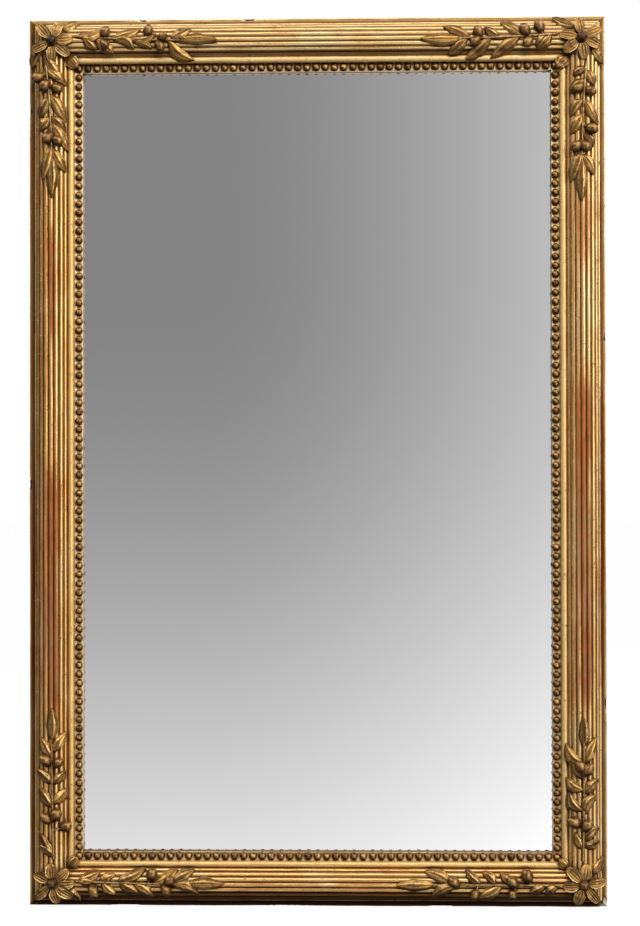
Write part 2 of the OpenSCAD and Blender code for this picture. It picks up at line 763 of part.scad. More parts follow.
for (i = [0 : 3]) moulding(i);
for (c = [0 : 3]) corner_key(c);
for (i = [0 : 3]) bead_strip(i);
for (c = [0 : 3]) rosette(c);
for (c = [0 : 3]) rosette_ball(c);
for (c = [0 : 3]) mitre_leaf_piece(c);
for (k = [0 : 7]) spray(k);
mirror_plate();
setting_pads();
glass_blocks();
back_stile(-1);  // back_stile_left
back_stile(1);  // back_stile_right
back_rail(back_h / 2 - back_member_w / 2, true, false);  // back_rail_top
back_rail(0, true, true);  // back_rail_middle
back_rail(-back_h / 2 + back_member_w / 2, false, true);  // back_rail_bottom
back_panel((opening_h + back_member_w) / 2);  // back_panel_upper
back_panel(-(opening_h + back_member_w) / 2);  // back_panel_lower
back_screws();
hanger_plate(-1);  // hanger_plate_left
hanger_plate(1);  // hanger_plate_right
hanger_ring(-1);  // hanger_ring_left
hanger_ring(1);  // hanger_ring_right
hanger_screws();
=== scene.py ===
"""The looks of a giltwood pier mirror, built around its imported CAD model.

Sizes are in millimetres, as in the model's own source, and MM turns them into metres. Pieces are laid
out in the front view: x to the right, y up and h out from the wall, with the origin at the centre of
the back. Lists and formulas that the source has too are repeated here by the same names.
"""
import math

import bmesh
import bpy
import numpy as np
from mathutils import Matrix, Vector


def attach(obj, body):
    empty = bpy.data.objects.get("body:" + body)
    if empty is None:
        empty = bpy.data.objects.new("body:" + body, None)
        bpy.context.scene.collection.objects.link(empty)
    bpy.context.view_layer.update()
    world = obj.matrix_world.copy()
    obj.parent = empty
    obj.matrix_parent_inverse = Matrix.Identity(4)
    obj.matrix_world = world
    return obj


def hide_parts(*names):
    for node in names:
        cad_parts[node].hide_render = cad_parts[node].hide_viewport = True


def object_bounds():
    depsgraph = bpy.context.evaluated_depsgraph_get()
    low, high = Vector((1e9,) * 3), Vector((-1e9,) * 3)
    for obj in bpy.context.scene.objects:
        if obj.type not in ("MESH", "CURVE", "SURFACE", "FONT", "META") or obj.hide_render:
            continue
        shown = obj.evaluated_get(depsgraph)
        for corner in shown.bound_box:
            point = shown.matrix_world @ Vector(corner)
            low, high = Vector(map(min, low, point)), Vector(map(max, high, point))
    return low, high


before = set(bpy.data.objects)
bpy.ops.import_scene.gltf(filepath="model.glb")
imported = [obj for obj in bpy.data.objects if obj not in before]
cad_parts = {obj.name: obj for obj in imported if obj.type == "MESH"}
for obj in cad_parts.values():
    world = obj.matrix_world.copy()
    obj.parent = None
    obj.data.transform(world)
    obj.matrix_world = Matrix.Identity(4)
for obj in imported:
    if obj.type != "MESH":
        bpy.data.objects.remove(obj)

cad_low, cad_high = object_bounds()

MM = 0.001
TAU = 2 * math.pi
BODY = "frame"
SIDES = ["bottom", "right", "top", "left"]
CORNERS = ["bottom_left", "bottom_right", "top_right", "top_left"]
SPRAYS = ["bottom_left_across", "bottom_left_up", "bottom_right_across", "bottom_right_up",
          "top_right_across", "top_right_down", "top_left_across", "top_left_down"]

# ---------- sizes repeated from the model's source ----------

FRAME_W = (cad_high.x - cad_low.x) / MM
FRAME_H = (cad_high.z - cad_low.z) / MM
SIDE_H = 40.0
CREST_H = 68.0
FILLET_W = 2.5
COVE_R = 8.0
REED_COUNT = 7
REED_R = 5.2
REED_ORBIT = 28.5
REED_STEP = 17.0
ROUND_R = 6.0
LEDGE_H = 42.0
LIP_T = 10.0
BEAD_R = 5.8
BEAD_PITCH = 15.8
STRIP_W = 12.4
STRIP_T = 1.5
GLASS_COVER = 12.0
BACK_T = 16.0
BACK_STEP = 15.0
BACK_MEMBER_W = 90.0
BOSS_R = 7.7
ROSETTE_IN = 44.0
ROSETTE_H = CREST_H + 8.0
STEM_R = 2.4
RING_Z = 330.0
CORE_R = REED_ORBIT + 2.0
FAN = REED_STEP * (REED_COUNT - 1) / 2
HUMP_U = FILLET_W + COVE_R + CORE_R
HUMP_H = CREST_H - REED_ORBIT - REED_R
CREST_R = REED_ORBIT + REED_R
ROUND_U = HUMP_U + REED_ORBIT * math.sin(math.radians(FAN)) + REED_R + ROUND_R - 0.75
ROUND_H = LEDGE_H + ROUND_R + 2.0
WALL_U = ROUND_U + ROUND_R - 0.8
STRIP_U = ROUND_U + ROUND_R + 0.6
RAIL_W = STRIP_U + STRIP_W + 0.4
BEAD_U = STRIP_U + STRIP_W / 2
BEAD_RISE = 1.0
WEB_H = SIDE_H + COVE_R
GLASS_H = LEDGE_H - LIP_T
GLASS_U = RAIL_W - GLASS_COVER
BACK_U = GLASS_U - BACK_STEP
LIE_HOLD = 0.72
LIE_INNER_SLOPE = 0.25
LIE_OUTER_SLOPE = 0.7
POCKET_D = 12.5
POCKET_W = 56.0
POCKET_BELOW = 66.0
POCKET_ABOVE = 35.1
HEAD_R = 4.2
SCREW_R = 2.0
HEAD_T = 2.4
SCREW_L = 34.0
PLATE_T = 2.5
HANGER_SCREW_L = 24.0
HANGER_SCREW_DROPS = [14, 32, 50]

# Seeds of the random draws. A numbered piece adds its number to its kind's seed, and a chip its reach
WAVE_SEED, DENT_SEED, CHIP_SEED = 11, 31, 70
BEAD_SEED, SPRAY_SEED, PETAL_SEED, MITRE_LEAF_SEED = 200, 400, 500, 600
BACK_SCREW_SEED, HANGER_SCREW_SEED = 700, 701

# Sprays: the stems' bends, then leaves as [place along the spray, side, length, angle from the stem] and
# berries as [place along the spray, distance inward from the stem, radius]
STEM_BEND = [4, 3, 0, 2, -6, -8, -8, -10]
LEAVES = [
    [[0, 1, 40, 25], [0, 0, 25, 0], [35, 1, 30, 25], [40, -1, 30, 40], [65, 1, 55, 25], [70, -1, 35, 25],
     [95, -1, 40, 35], [130, 1, 45, 30], [160, 1, 45, 30], [160, -1, 50, 20], [185, 0, 65, 0]],
    [[0, -1, 45, 30], [0, -1, 30, 55], [85, -1, 40, 35], [90, 1, 35, 45], [125, -1, 35, 50],
     [125, 1, 30, 45], [155, -1, 25, 50], [170, -1, 40, 30], [180, 1, 40, 35], [200, 0, 55, 0]],
    [[0, -1, 25, 40], [20, -1, 30, 25], [80, 1, 25, 50], [95, -1, 45, 30], [105, 1, 30, 45],
     [130, 1, 35, 45], [175, -1, 45, 30], [180, 1, 50, 25], [210, 0, 65, 0]],
    [[15, 1, 30, 25], [20, -1, 30, 75], [30, -1, 35, 55], [75, -1, 40, 35], [80, 1, 40, 35],
     [110, -1, 35, 45], [115, 1, 35, 55], [135, 1, 35, 35], [160, -1, 50, 25], [160, 1, 45, 40],
     [190, 0, 50, 0]],
    [[5, 1, 35, 45], [15, 1, 25, 50], [55, -1, 45, 35], [60, 1, 60, 35], [95, -1, 30, 35],
     [110, 1, 55, 40], [145, -1, 50, 25], [150, 1, 40, 40], [155, 0, 75, 0]],
    [[5, 1, 25, 60], [10, -1, 30, 30], [25, 1, 35, 45], [60, 1, 35, 35], [60, -1, 50, 30],
     [85, 1, 40, 30], [120, -1, 30, 30], [150, 1, 55, 20], [155, -1, 40, 30], [160, 0, 75, 0]],
    [[0, -1, 45, 15], [10, 1, 30, 45], [30, 1, 40, 40], [60, -1, 50, 20], [60, 1, 40, 25],
     [90, -1, 45, 10], [95, 1, 35, 25], [155, 1, 55, 35], [160, -1, 40, 30], [170, 0, 70, 0]],
    [[0, 1, 30, 50], [5, 1, 40, 55], [45, 1, 55, 30], [50, -1, 40, 25], [85, -1, 30, 40],
     [85, 1, 35, 45], [95, 1, 55, 30], [135, -1, 60, 15], [140, 1, 45, 30], [150, 0, 75, 0]]]
BERRIES = [
    [[25, -15, 10], [125, 15, 10], [150, -10, 9], [155, 5, 9]],
    [[50, 20, 10], [65, -10, 10], [70, 5, 11], [160, 10, 9], [165, -10, 10]],
    [[50, 15, 11], [75, 5, 10], [75, -15, 8], [140, -15, 8], [175, 5, 10]],
    [[55, -5, 10], [60, 15, 11], [150, -5, 11], [155, 5, 10]],
    [[25, -15, 10], [50, -10, 10], [45, 10, 9], [130, -10, 9], [135, 5, 9]],
    [[40, 10, 9], [45, -10, 9], [110, -15, 10], [140, 10, 10], [140, -5, 9]],
    [[45, -10, 9], [45, 10, 8], [120, -15, 9], [145, -5, 8], [140, 10, 9]],
    [[15, -15, 10], [30, -5, 10], [35, 15, 9], [120, -5, 10], [125, 10, 9]]]
# Small leaves tucked beneath the rosettes, by spray: [along, across, along, across, width], root to tip
TUCKED = {0: [[60, 31, 92, 11, 14]], 3: [[62, 27, 88, 8, 15]], 4: [[56, 23, 92, 4, 14]],
          5: [[58, 26, 86, 4, 14]], 6: [[60, 22, 88, 6, 16]],
          7: [[54, 27, 86, 4, 15], [62, 28, 104, 58, 16]]}
SPRAY_START = ROSETTE_IN + 46.0
STEM_LEAD = 6.0
STEM_TAIL = 10.0
STEM_LINE = HUMP_U + 2.0

# Rosettes: each petal is [angle, length]; mitre leaves are [distance from the centre, angle, length, width]
PETALS = [
    [[0, 38], [40, 36], [95, 34], [155, 36], [220, 42], [285, 36], [325, 42]],
    [[10, 38], [80, 36], [135, 40], [185, 36], [250, 36], [310, 40]],
    [[25, 38], [100, 34], [170, 38], [220, 38], [280, 38], [335, 38]],
    [[10, 36], [65, 36], [130, 40], [205, 38], [270, 38], [320, 38]]]
MITRE_LEAF = [[36, 45, 26, 18], [36, 135, 24, 14], [36, 230, 28, 20], [36, 315, 26, 20]]
MITRE_LEAF_H = CREST_H - 10.0
MITRE_LEAF_ARCH = 5.0

# ---------- places ----------


def side_len(i):
    return FRAME_W if i % 2 == 0 else FRAME_H


def grid(*parts):
    """Points from their x, y and h, each of which may be the same along a row or a column."""
    return np.stack(np.broadcast_arrays(*parts), -1)


def on_side(i, s, u, h):
    """Points of side i, from s along it, u inward from the outer edge and h out, in the front view."""
    out = (FRAME_H if i % 2 == 0 else FRAME_W) / 2
    x, y = [(s, u - out), (out - u, s), (-s, out - u), (u - out, -s)][i]
    return grid(x, y, h)


def inward(corner):
    """The inward directions at a corner, in x and y."""
    return (1 if corner in (0, 3) else -1), (1 if corner < 2 else -1)


def from_corner(corner, upward, points):
    """Turns (along a rail, across it, out) at a corner into the front view."""
    sx, sy = inward(corner)
    along, across, h = points[..., 0], points[..., 1], points[..., 2]
    x, y = (across, along) if upward else (along, across)
    return np.stack([sx * (x - FRAME_W / 2), sy * (y - FRAME_H / 2), h], -1)


def at_rosette(corner, points):
    sx, sy = inward(corner)
    centre = [sx * (ROSETTE_IN - FRAME_W / 2), sy * (ROSETTE_IN - FRAME_H / 2), 0]
    return points + np.array(centre)


def turned(points, degrees):
    """Points turned about the h axis."""
    c, s = math.cos(math.radians(degrees)), math.sin(math.radians(degrees))
    x, y, h = points[..., 0], points[..., 1], points[..., 2]
    return np.stack([c * x - s * y, s * x + c * y, h], -1)


def lie(u):
    """Height of the surface that an ornament lies on, at u from the outer edge."""
    d = np.asarray(u, float) - HUMP_U
    held = np.clip(d, -LIE_HOLD * CREST_R, LIE_HOLD * CREST_R)
    slope = np.where(d > 0, LIE_INNER_SLOPE, LIE_OUTER_SLOPE)
    return HUMP_H + np.sqrt(CREST_R ** 2 - held ** 2) - (np.abs(d) - np.abs(held)) * slope


def ripple(x, y, seed, x_size, y_size, waves=9):
    """Smooth seeded unevenness between about -1 and 1, with features of x_size by y_size."""
    rng = np.random.default_rng(seed)
    total = 0.0
    for _ in range(waves):
        a, b = rng.normal(0, 1, 2)
        total = total + np.sin(a * TAU * x / x_size + b * TAU * y / y_size + rng.uniform(0, TAU))
    return total / math.sqrt(waves)


def smooth_step(low, high, value):
    t = np.clip((value - low) / (high - low), 0, 1)
    return t * t * (3 - 2 * t)


def drawn_tone(rng, middle, spread):
    return np.clip(rng.normal(middle, spread), 0, 1)


# ---------- meshes ----------

LIT_FROM = (0.45, -0.7, 0.6)    # the light's direction. Painted shade darkens what faces away from it


def new_object(name, data):
    thing = bpy.data.objects.new(name, data)
    bpy.context.scene.collection.objects.link(thing)
    return thing


class Build:
    """A mesh under construction, with named values at its points.

    Points are added in millimetres, in the front view or where the function placed turns them into it.
    """

    def __init__(self, placed=None):
        self.placed = placed
        self.points, self.faces, self.slots, self.layers, self.count = [], [], [], {}, 0

    def add(self, points, faces, slot=0, **layers):
        """Adds points (n by 3), faces that count from 0, and a value or a value per point for each layer."""
        points = np.asarray(points, float).reshape(-1, 3)
        n = len(points)
        self.points.append(self.placed(points) if self.placed else points)
        self.faces += [tuple(int(k) + self.count for k in face) for face in faces]
        self.slots += [slot] * len(faces)
        for name, value in layers.items():
            self.layers.setdefault(name, [np.zeros(self.count)])
            self.layers[name].append(np.broadcast_to(np.asarray(value, float).reshape(-1), (n,)))
        self.count += n
        for name, parts in self.layers.items():
            short = self.count - sum(len(p) for p in parts)
            if short:
                parts.append(np.zeros(short))

    def piece(self, name, materials, slot, nodes, sharp):
        """Makes the object, rides it on the frame and lets it stand for its CAD nodes."""
        p = np.concatenate(self.points)
        mesh = bpy.data.meshes.new(name)
        mesh.from_pydata(np.stack([p[:, 0], -p[:, 2], p[:, 1]], -1) * MM, [], self.faces)
        for material in materials:
            mesh.materials.append(material)
        mesh.polygons.foreach_set("material_index", self.slots)
        for layer, parts in self.layers.items():
            attribute = mesh.attributes.new(layer, "FLOAT", "POINT")
            attribute.data.foreach_set("value", np.concatenate(parts).astype(np.float32))
        work = bmesh.new()
        work.from_mesh(mesh)
        bmesh.ops.recalc_face_normals(work, faces=work.faces)
        work.to_mesh(mesh)
        work.free()
        mesh.polygons.foreach_set("use_smooth", [True] * len(mesh.polygons))
        mesh.set_sharp_from_angle(angle=math.radians(sharp))
        mesh.validate()
        # Painted shade: a value that grows as a point's normal turns away from the light
        count = len(mesh.vertices)
        normals = np.zeros(3 * count, np.float32)
        mesh.vertex_normals.foreach_get("vector", normals)
        lit = normals.reshape(-1, 3) @ np.array(LIT_FROM) / np.linalg.norm(LIT_FROM)
        under = mesh.attributes.new("under", "FLOAT", "POINT")
        under.data.foreach_set("value", smooth_step(0.66, 0.15, lit).astype(np.float32))
        piece = new_object(name, mesh)
        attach(piece, BODY)
        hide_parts(*nodes)


def quads(rows, columns, wrap_columns=False):
    """Faces of a grid of points, counted row by row."""
    c = np.arange(columns if wrap_columns else columns - 1)
    r, c = [g.ravel() for g in np.meshgrid(np.arange(rows - 1), c, indexing="ij")]
    c2 = (c + 1) % columns
    corners = [r * columns + c, r * columns + c2, (r + 1) * columns + c2, (r + 1) * columns + c]
    return np.stack(corners, -1).tolist()


def tube_faces(rings, sides):
    """Faces of a tube that is closed at both ends, counted ring by ring."""
    ends = [list(range(sides)), list(range((rings - 1) * sides, rings * sides))]
    return quads(rings, sides, wrap_columns=True) + ends


def slab(top, bottom):
    """Points and faces of a closed leaf from its upper and lower grids, both rows by columns by 3."""
    rows, columns = top.shape[:2]
    n = rows * columns
    faces = quads(rows, columns)
    faces = faces + [[k + n for k in reversed(f)] for f in faces]
    edge = list(range(columns)) + [r * columns + columns - 1 for r in range(1, rows)]
    edge += [(rows - 1) * columns + c for c in range(columns - 2, -1, -1)]
    edge += [r * columns for r in range(rows - 2, 0, -1)]
    faces += [[a, a + n, b + n, b] for a, b in zip(edge, edge[1:] + edge[:1])]
    return np.concatenate([top.reshape(-1, 3), bottom.reshape(-1, 3)]), faces


def lathe(profile, turns, centre=(0, 0, 0), axis=(0, 0, 1)):
    """Points and faces of a turned solid. The profile is (radius, distance along the axis), end to end."""
    axis = np.array(axis, float) / np.linalg.norm(axis)
    side = np.cross(axis, [0.31, 0.85, 0.42])
    side /= np.linalg.norm(side)
    other = np.cross(axis, side)
    angle = np.arange(turns) * TAU / turns
    ring = np.cos(angle)[:, None] * side + np.sin(angle)[:, None] * other
    profile = np.asarray(profile, float)
    points = np.array(centre) + profile[:, None, :1] * ring + profile[:, None, 1:] * axis
    return points.reshape(-1, 3), tube_faces(len(profile), turns)


# ---------- materials ----------


def srgb(red, green, blue):
    """A colour as it is seen, from 0 to 255, as a shader's linear colour."""
    channels = [c / 255 for c in (red, green, blue)]
    return tuple(c / 12.92 if c <= 0.04045 else ((c + 0.055) / 1.055) ** 2.4 for c in channels) + (1.0,)


class Value:
    """What a shader node gives out. Sums with it add Math nodes."""

    def __init__(self, look, socket):
        self.look, self.socket = look, socket

    def __add__(self, other):
        return self.look.math("ADD", self, other)

    def __radd__(self, other):
        return self.look.math("ADD", other, self)

    def __sub__(self, other):
        return self.look.math("SUBTRACT", self, other)

    def __rsub__(self, other):
        return self.look.math("SUBTRACT", other, self)

    def __mul__(self, other):
        return self.look.math("MULTIPLY", self, other)

    def __truediv__(self, other):
        return self.look.math("DIVIDE", self, other)

    def clamped(self):
        """The same sum, held between 0 and 1."""
        self.socket.node.use_clamp = True
        return self


class Look:
    """A material or a world under construction: short calls that add nodes and link them."""

    def __init__(self, owner):
        owner.use_nodes = True
        self.owner, self.tree = owner, owner.node_tree

    def add(self, kind, output=0, sockets=None, **settings):
        node = self.tree.nodes.new(kind)
        for key, value in settings.items():
            setattr(node, key, value)
        for key, value in (sockets or {}).items():
            self.put(node.inputs[key], value)
        return Value(self, node.outputs[output])

    def put(self, socket, value):
        if isinstance(value, Value):
            self.tree.links.new(value.socket, socket)
        else:
            socket.default_value = value

    def math(self, operation, *values):
        return self.add("ShaderNodeMath", operation=operation, sockets=dict(enumerate(values)))

    def largest(self, value, *others):
        for other in others:
            value = self.math("MAXIMUM", value, other)
        return value

    def ramp(self, value, most, power):
        """A value held between 0 and most, to a power."""
        held = self.math("MINIMUM", self.largest(value, 0.0), most)
        return self.math("POWER", held, power)

    def layer(self, name):
        """A named value at the mesh's points."""
        return self.add("ShaderNodeAttribute", "Fac", attribute_name=name)

    def layers(self, *names):
        return [self.layer(name) for name in names]

    def place(self, scale):
        """Object coordinates in metres, times scale."""
        here = self.add("ShaderNodeTexCoord", "Object")
        return self.add("ShaderNodeMapping", sockets={"Vector": here, "Scale": scale})

    def flow(self, along, across):
        """Coordinates along and across a run moulding, in features per metre, with a shift per side."""
        side_shift = 17.0
        sizes = {"flow_s": along, "flow_v": across, "flow_side": side_shift}
        parts = [self.layer(name) * size for name, size in sizes.items()]
        return self.add("ShaderNodeCombineXYZ", sockets=dict(enumerate(parts)))

    def noise(self, vector, detail=3.0, roughness=0.55):
        return self.add("ShaderNodeTexNoise", "Fac", sockets={
            "Vector": vector, "Scale": 1.0, "Detail": detail, "Roughness": roughness})

    def spots(self, rate, detail=3.0, roughness=0.55):
        """Noise that is alike every way, with rate features per metre."""
        return self.noise(self.place((rate, rate, rate)), detail, roughness)

    def cells(self, vector):
        """Distance from the nearest of scattered points."""
        return self.add("ShaderNodeTexVoronoi", "Distance", sockets={"Vector": vector, "Scale": 1.0})

    def step(self, value, low, high, out_low=0.0, out_high=1.0):
        """Smooth change from out_low to out_high as value goes from low to high."""
        return self.add("ShaderNodeMapRange", interpolation_type="SMOOTHSTEP", sockets={
            "Value": value, "From Min": low, "From Max": high, "To Min": out_low, "To Max": out_high})

    def blend(self, share, a, b):
        """Colour a where share is 0 and b where it is 1."""
        return self.add("ShaderNodeMix", 2, data_type="RGBA", sockets={0: share, 6: a, 7: b})

    def occlusion_shade(self, distance):
        """1 in corners and beneath neighbours within distance, in metres, and 0 in the open. Colours darkened
        by it are painted shade.
        """
        open_share = self.add("ShaderNodeAmbientOcclusion", "AO", samples=6, sockets={"Distance": distance})
        return (1.0 - open_share).clamped()

    def bump(self, height, distance, strength):
        sockets = {"Height": height, "Distance": distance, "Strength": strength}
        return self.add("ShaderNodeBump", "Normal", sockets=sockets)

    def finish(self, colour, roughness, metallic=0.0, normal=None, specular=0.5):
        """Sets the material's shader."""
        settings = {"Base Color": colour, "Roughness": roughness, "Metallic": metallic,
                    "Specular IOR Level": specular}
        if normal is not None:
            settings["Normal"] = normal
        for name, value in settings.items():
            self.put(self.tree.nodes["Principled BSDF"].inputs[name], value)
        return self.owner


def new_material(name):
    return Look(bpy.data.materials.new(name))


# Colours of the gilding and of what shows through it, as they are seen
GOLD = srgb(231, 171, 79)
GOLD_PALE = srgb(254, 226, 163)
GOLD_DEEP = srgb(194, 112, 32)
SATIN = srgb(238, 182, 80)
SATIN_DUSTY = srgb(244, 212, 156)
BOLE = srgb(164, 76, 36)
BOLE_DARK = srgb(112, 48, 20)
# Brown of grime, also used as painted shade in grooves and corners
GRIME_AND_SHADE_BROWN = srgb(60, 22, 0)
# Brown of painted shade on the bands that face away from the light
SHADE_UMBER = srgb(70, 34, 8)
PATINA = srgb(122, 58, 6)
CRACK_PALE = srgb(226, 168, 128)
GESSO = srgb(232, 218, 192)
GESSO_DIRTY = srgb(74, 46, 26)
OCHRE = srgb(150, 104, 50)
OCHRE_DARK = srgb(104, 66, 28)
PINE = srgb(168, 124, 78)
PINE_DARK = srgb(112, 76, 44)
PINE_STAINED = srgb(84, 58, 36)


def gilding():
    """Water gilding on run mouldings: burnished leaf, bole where it is rubbed, grime in the grooves."""
    look = new_material("gilded_moulding")
    worn, dirt, loss, satin, dusty, shade_band = look.layers("worn", "dirt", "loss", "satin", "dusty", "shade_band")
    red, pale, washed, bare = look.layers("red", "pale", "ochre", "bare")
    drift = look.noise(look.flow(2.6, 105), 2.0)
    broad = look.noise(look.flow(9, 14), 2.0)
    streak = look.noise(look.flow(14, 330), 3.0, 0.6)
    patch = look.noise(look.flow(42, 120), 4.0, 0.65)
    fine = look.noise(look.flow(500, 700), 3.0, 0.7)
    # The leaf, paler where it is dusty and where the bottom rail gets a painted highlight, and the satin gold
    # of the round
    gold = look.blend(look.step(streak, 0.36, 0.64), GOLD_DEEP, GOLD)
    gold = look.blend((look.step(broad, 0.42, 0.7, 0.0, 0.35) + dusty * 0.6).clamped(), gold, GOLD_PALE)
    gold = look.blend(satin * 0.6, gold, look.blend(dusty, SATIN, SATIN_DUSTY))
    # Bole where the leaf is rubbed away
    rubbed = look.step(red * 0.42 + drift * 0.75 + patch * 0.3, 0.61, 0.9)
    bole = look.blend(look.step(patch, 0.35, 0.65), BOLE_DARK, BOLE)
    colour = look.blend(rubbed * 0.8, gold, bole)
    # Toning that is gone from the ridges, a painted highlight along the crests, and bands of painted shade
    toning = look.step(worn, 0.0, 0.4, 1.0, 0.0) * (1.0 - satin) * look.step(dusty, 0.2, 0.8, 0.55, 0.35)
    colour = look.blend(toning, colour, PATINA)
    crest_highlight = look.step(worn, 0.45, 0.85) * look.step(streak, 0.36, 0.6, 0.35, 1.0) * (1.0 - rubbed * 0.85)
    colour = look.blend(crest_highlight, colour, GOLD_PALE)
    banded_shade = shade_band * (1.0 - crest_highlight * 0.6)
    colour = look.blend(banded_shade, colour, SHADE_UMBER)
    # Grime and painted shade in the grooves, painted shade beside the ornament, and grime in dots
    grime_and_shade_share = (dirt * 1.25 + look.occlusion_shade(0.0045) * 0.6 + look.step(patch, 0.6, 0.8, 0.0, 0.3)).clamped()
    # Painted shade near the ornament, from occlusion over two centimetres
    grime_and_shade_share = look.largest(grime_and_shade_share, look.step(look.occlusion_shade(0.02), 0.34, 0.56, 0.0, 0.85))
    colour = look.blend(grime_and_shade_share * 0.93, colour, GRIME_AND_SHADE_BROWN)
    dots = look.step(look.cells(look.flow(150, 210)), 0.09, 0.17, 0.6, 0.0)
    colour = look.blend(dots * look.step(patch, 0.45, 0.6), colour, GRIME_AND_SHADE_BROWN)
    # Cracks, where a slow noise passes its middle value
    near = look.math("ABSOLUTE", look.noise(look.flow(26, 16), 3.0, 0.6) - 0.5)
    cracked = look.step(near, 0.001, 0.006, 1.0, 0.0) * look.step(patch, 0.42, 0.56)
    colour = look.blend(cracked * 0.6, colour, look.blend(rubbed * worn, GRIME_AND_SHADE_BROWN, CRACK_PALE))
    # Chips down to the gesso, the ochre wash of the outer side, and bare wood
    chipped = look.step(loss + fine * 0.3, 0.6, 0.75)
    colour = look.blend(chipped, colour, look.blend(pale, GESSO_DIRTY, GESSO))
    ochre = look.step(washed + patch * 0.5, 0.55, 0.8)
    colour = look.blend(ochre, colour, look.blend(patch, OCHRE, OCHRE_DARK))
    pine = look.blend(look.noise(look.flow(20, 900), 4.0), PINE_DARK, PINE)
    stain = look.step(look.noise(look.flow(5, 22), 4.0), 0.42, 0.7, 0.0, 0.6)
    colour = look.blend(bare, colour, look.blend(stain, pine, PINE_STAINED))
    # Metal where the leaf shows, rougher where it doesn't
    matt = look.largest(grime_and_shade_share, rubbed * 0.6, look.largest(ochre, bare, loss)).clamped()
    metal = (0.95 - (crest_highlight * 0.12 + satin * 0.25 + banded_shade * 0.3) - matt).clamped()
    rough = (matt * 0.35 + look.step(patch, 0.3, 0.75, 0.15, 0.28) + satin * 0.2).clamped()
    relief = fine * 0.25 + patch * 0.9 - cracked * 0.8
    return look.finish(colour, rough, metal, look.bump(relief, 0.0006, 0.5), specular=0.06)


def strip_gold():
    """The flat strip that the beads stand on: pale gold, with painted shade where it meets the beads and
    along the upper edge of the top and bottom strips.
    """
    look = new_material("bead_strip")
    patch = look.spots(60)
    colour = look.blend(look.step(patch, 0.35, 0.7), srgb(255, 224, 160), srgb(238, 190, 118))
    grime_and_shade_share = (look.occlusion_shade(0.003) * 0.5 + look.layer("dirt")).clamped()
    colour = look.blend(grime_and_shade_share, colour, srgb(92, 56, 28))
    return look.finish(colour, 0.4, 0.3, look.bump(patch, 0.0005, 0.3), specular=0.2)


def bead_bronze():
    """Cast beads: dull bronze gold, with a painted highlight on top, and painted shade below, between them
    and on the side away from the light.
    """
    look = new_material("bead_bronze")
    tone, worn, dirt, under = look.layers("tone", "worn", "dirt", "under")
    patch = look.spots(230)
    colour = look.blend(tone, srgb(72, 42, 20), srgb(126, 84, 44))
    colour = look.blend(worn * look.step(patch, 0.35, 0.6), colour, srgb(206, 156, 92))
    grime_and_shade_share = (look.occlusion_shade(0.005) * 0.9 + dirt + under * 0.9).clamped()
    colour = look.blend(grime_and_shade_share * 0.9, colour, srgb(40, 20, 6))
    rough = look.step(patch, 0.3, 0.7, 0.22, 0.36)
    return look.finish(colour, rough, 0.65, look.bump(patch, 0.0006, 0.35), specular=0.3)


def ornament_gold():
    """Cast leaves and petals: matt gold with brown patches, grime and painted shade in the veins and hollows
    and on what faces away from the light, and a painted highlight on the ridges and tops.
    """
    look = new_material("gilded_ornament")
    tone, worn, dirt, under, berry = look.layers("tone", "worn", "dirt", "under", "berry")
    patch = look.spots(90, 4.0, 0.6)
    fine = look.spots(520, 3.0, 0.7)
    colour = look.blend(tone, srgb(112, 74, 34), srgb(196, 146, 74))
    highlight_share = (worn * look.step(patch, 0.32, 0.62)).clamped()
    colour = look.blend(highlight_share, colour, srgb(248, 216, 148))
    skin = look.blend(look.step(patch, 0.35, 0.65), srgb(92, 58, 30), srgb(172, 126, 72))
    colour = look.blend(berry * 0.75, colour, skin)
    brown = look.step(patch, 0.46, 0.68, 0.0, 0.8)
    colour = look.blend(brown, colour, srgb(104, 66, 34))
    grime_and_shade_share = (dirt * 0.8 + look.occlusion_shade(0.013) * 0.95 + under * 0.6).clamped()
    colour = look.blend(grime_and_shade_share * 0.9, colour, srgb(58, 34, 14))
    dull = look.largest(brown, berry * 0.6)
    metal = (1.0 - (grime_and_shade_share * 0.8 + dull * 0.3)).clamped()
    rough = look.step(fine, 0.3, 0.7, 0.18, 0.34)
    return look.finish(colour, rough, metal, look.bump(fine * 0.5 + patch, 0.0008, 0.45), specular=0.25)


def ball_bronze():
    look = new_material("dark_bronze")
    patch = look.spots(160)
    dark = look.blend(patch, srgb(26, 18, 12), srgb(72, 48, 28))
    brown = look.blend(patch, srgb(74, 46, 24), srgb(142, 98, 56))
    rough = look.step(patch, 0.3, 0.7, 0.2, 0.38)
    colour = look.blend(look.layer("tone"), dark, brown)
    return look.finish(colour, rough, 0.6, look.bump(patch, 0.0008, 0.3))


def mirror_silver():
    """Silvered plate, slightly uneven, as old glass is."""
    look = new_material("mirror_glass")
    return look.finish(srgb(247, 248, 247), 0.015, 1.0, look.bump(look.spots(5, 1.0), 0.00004, 0.2))


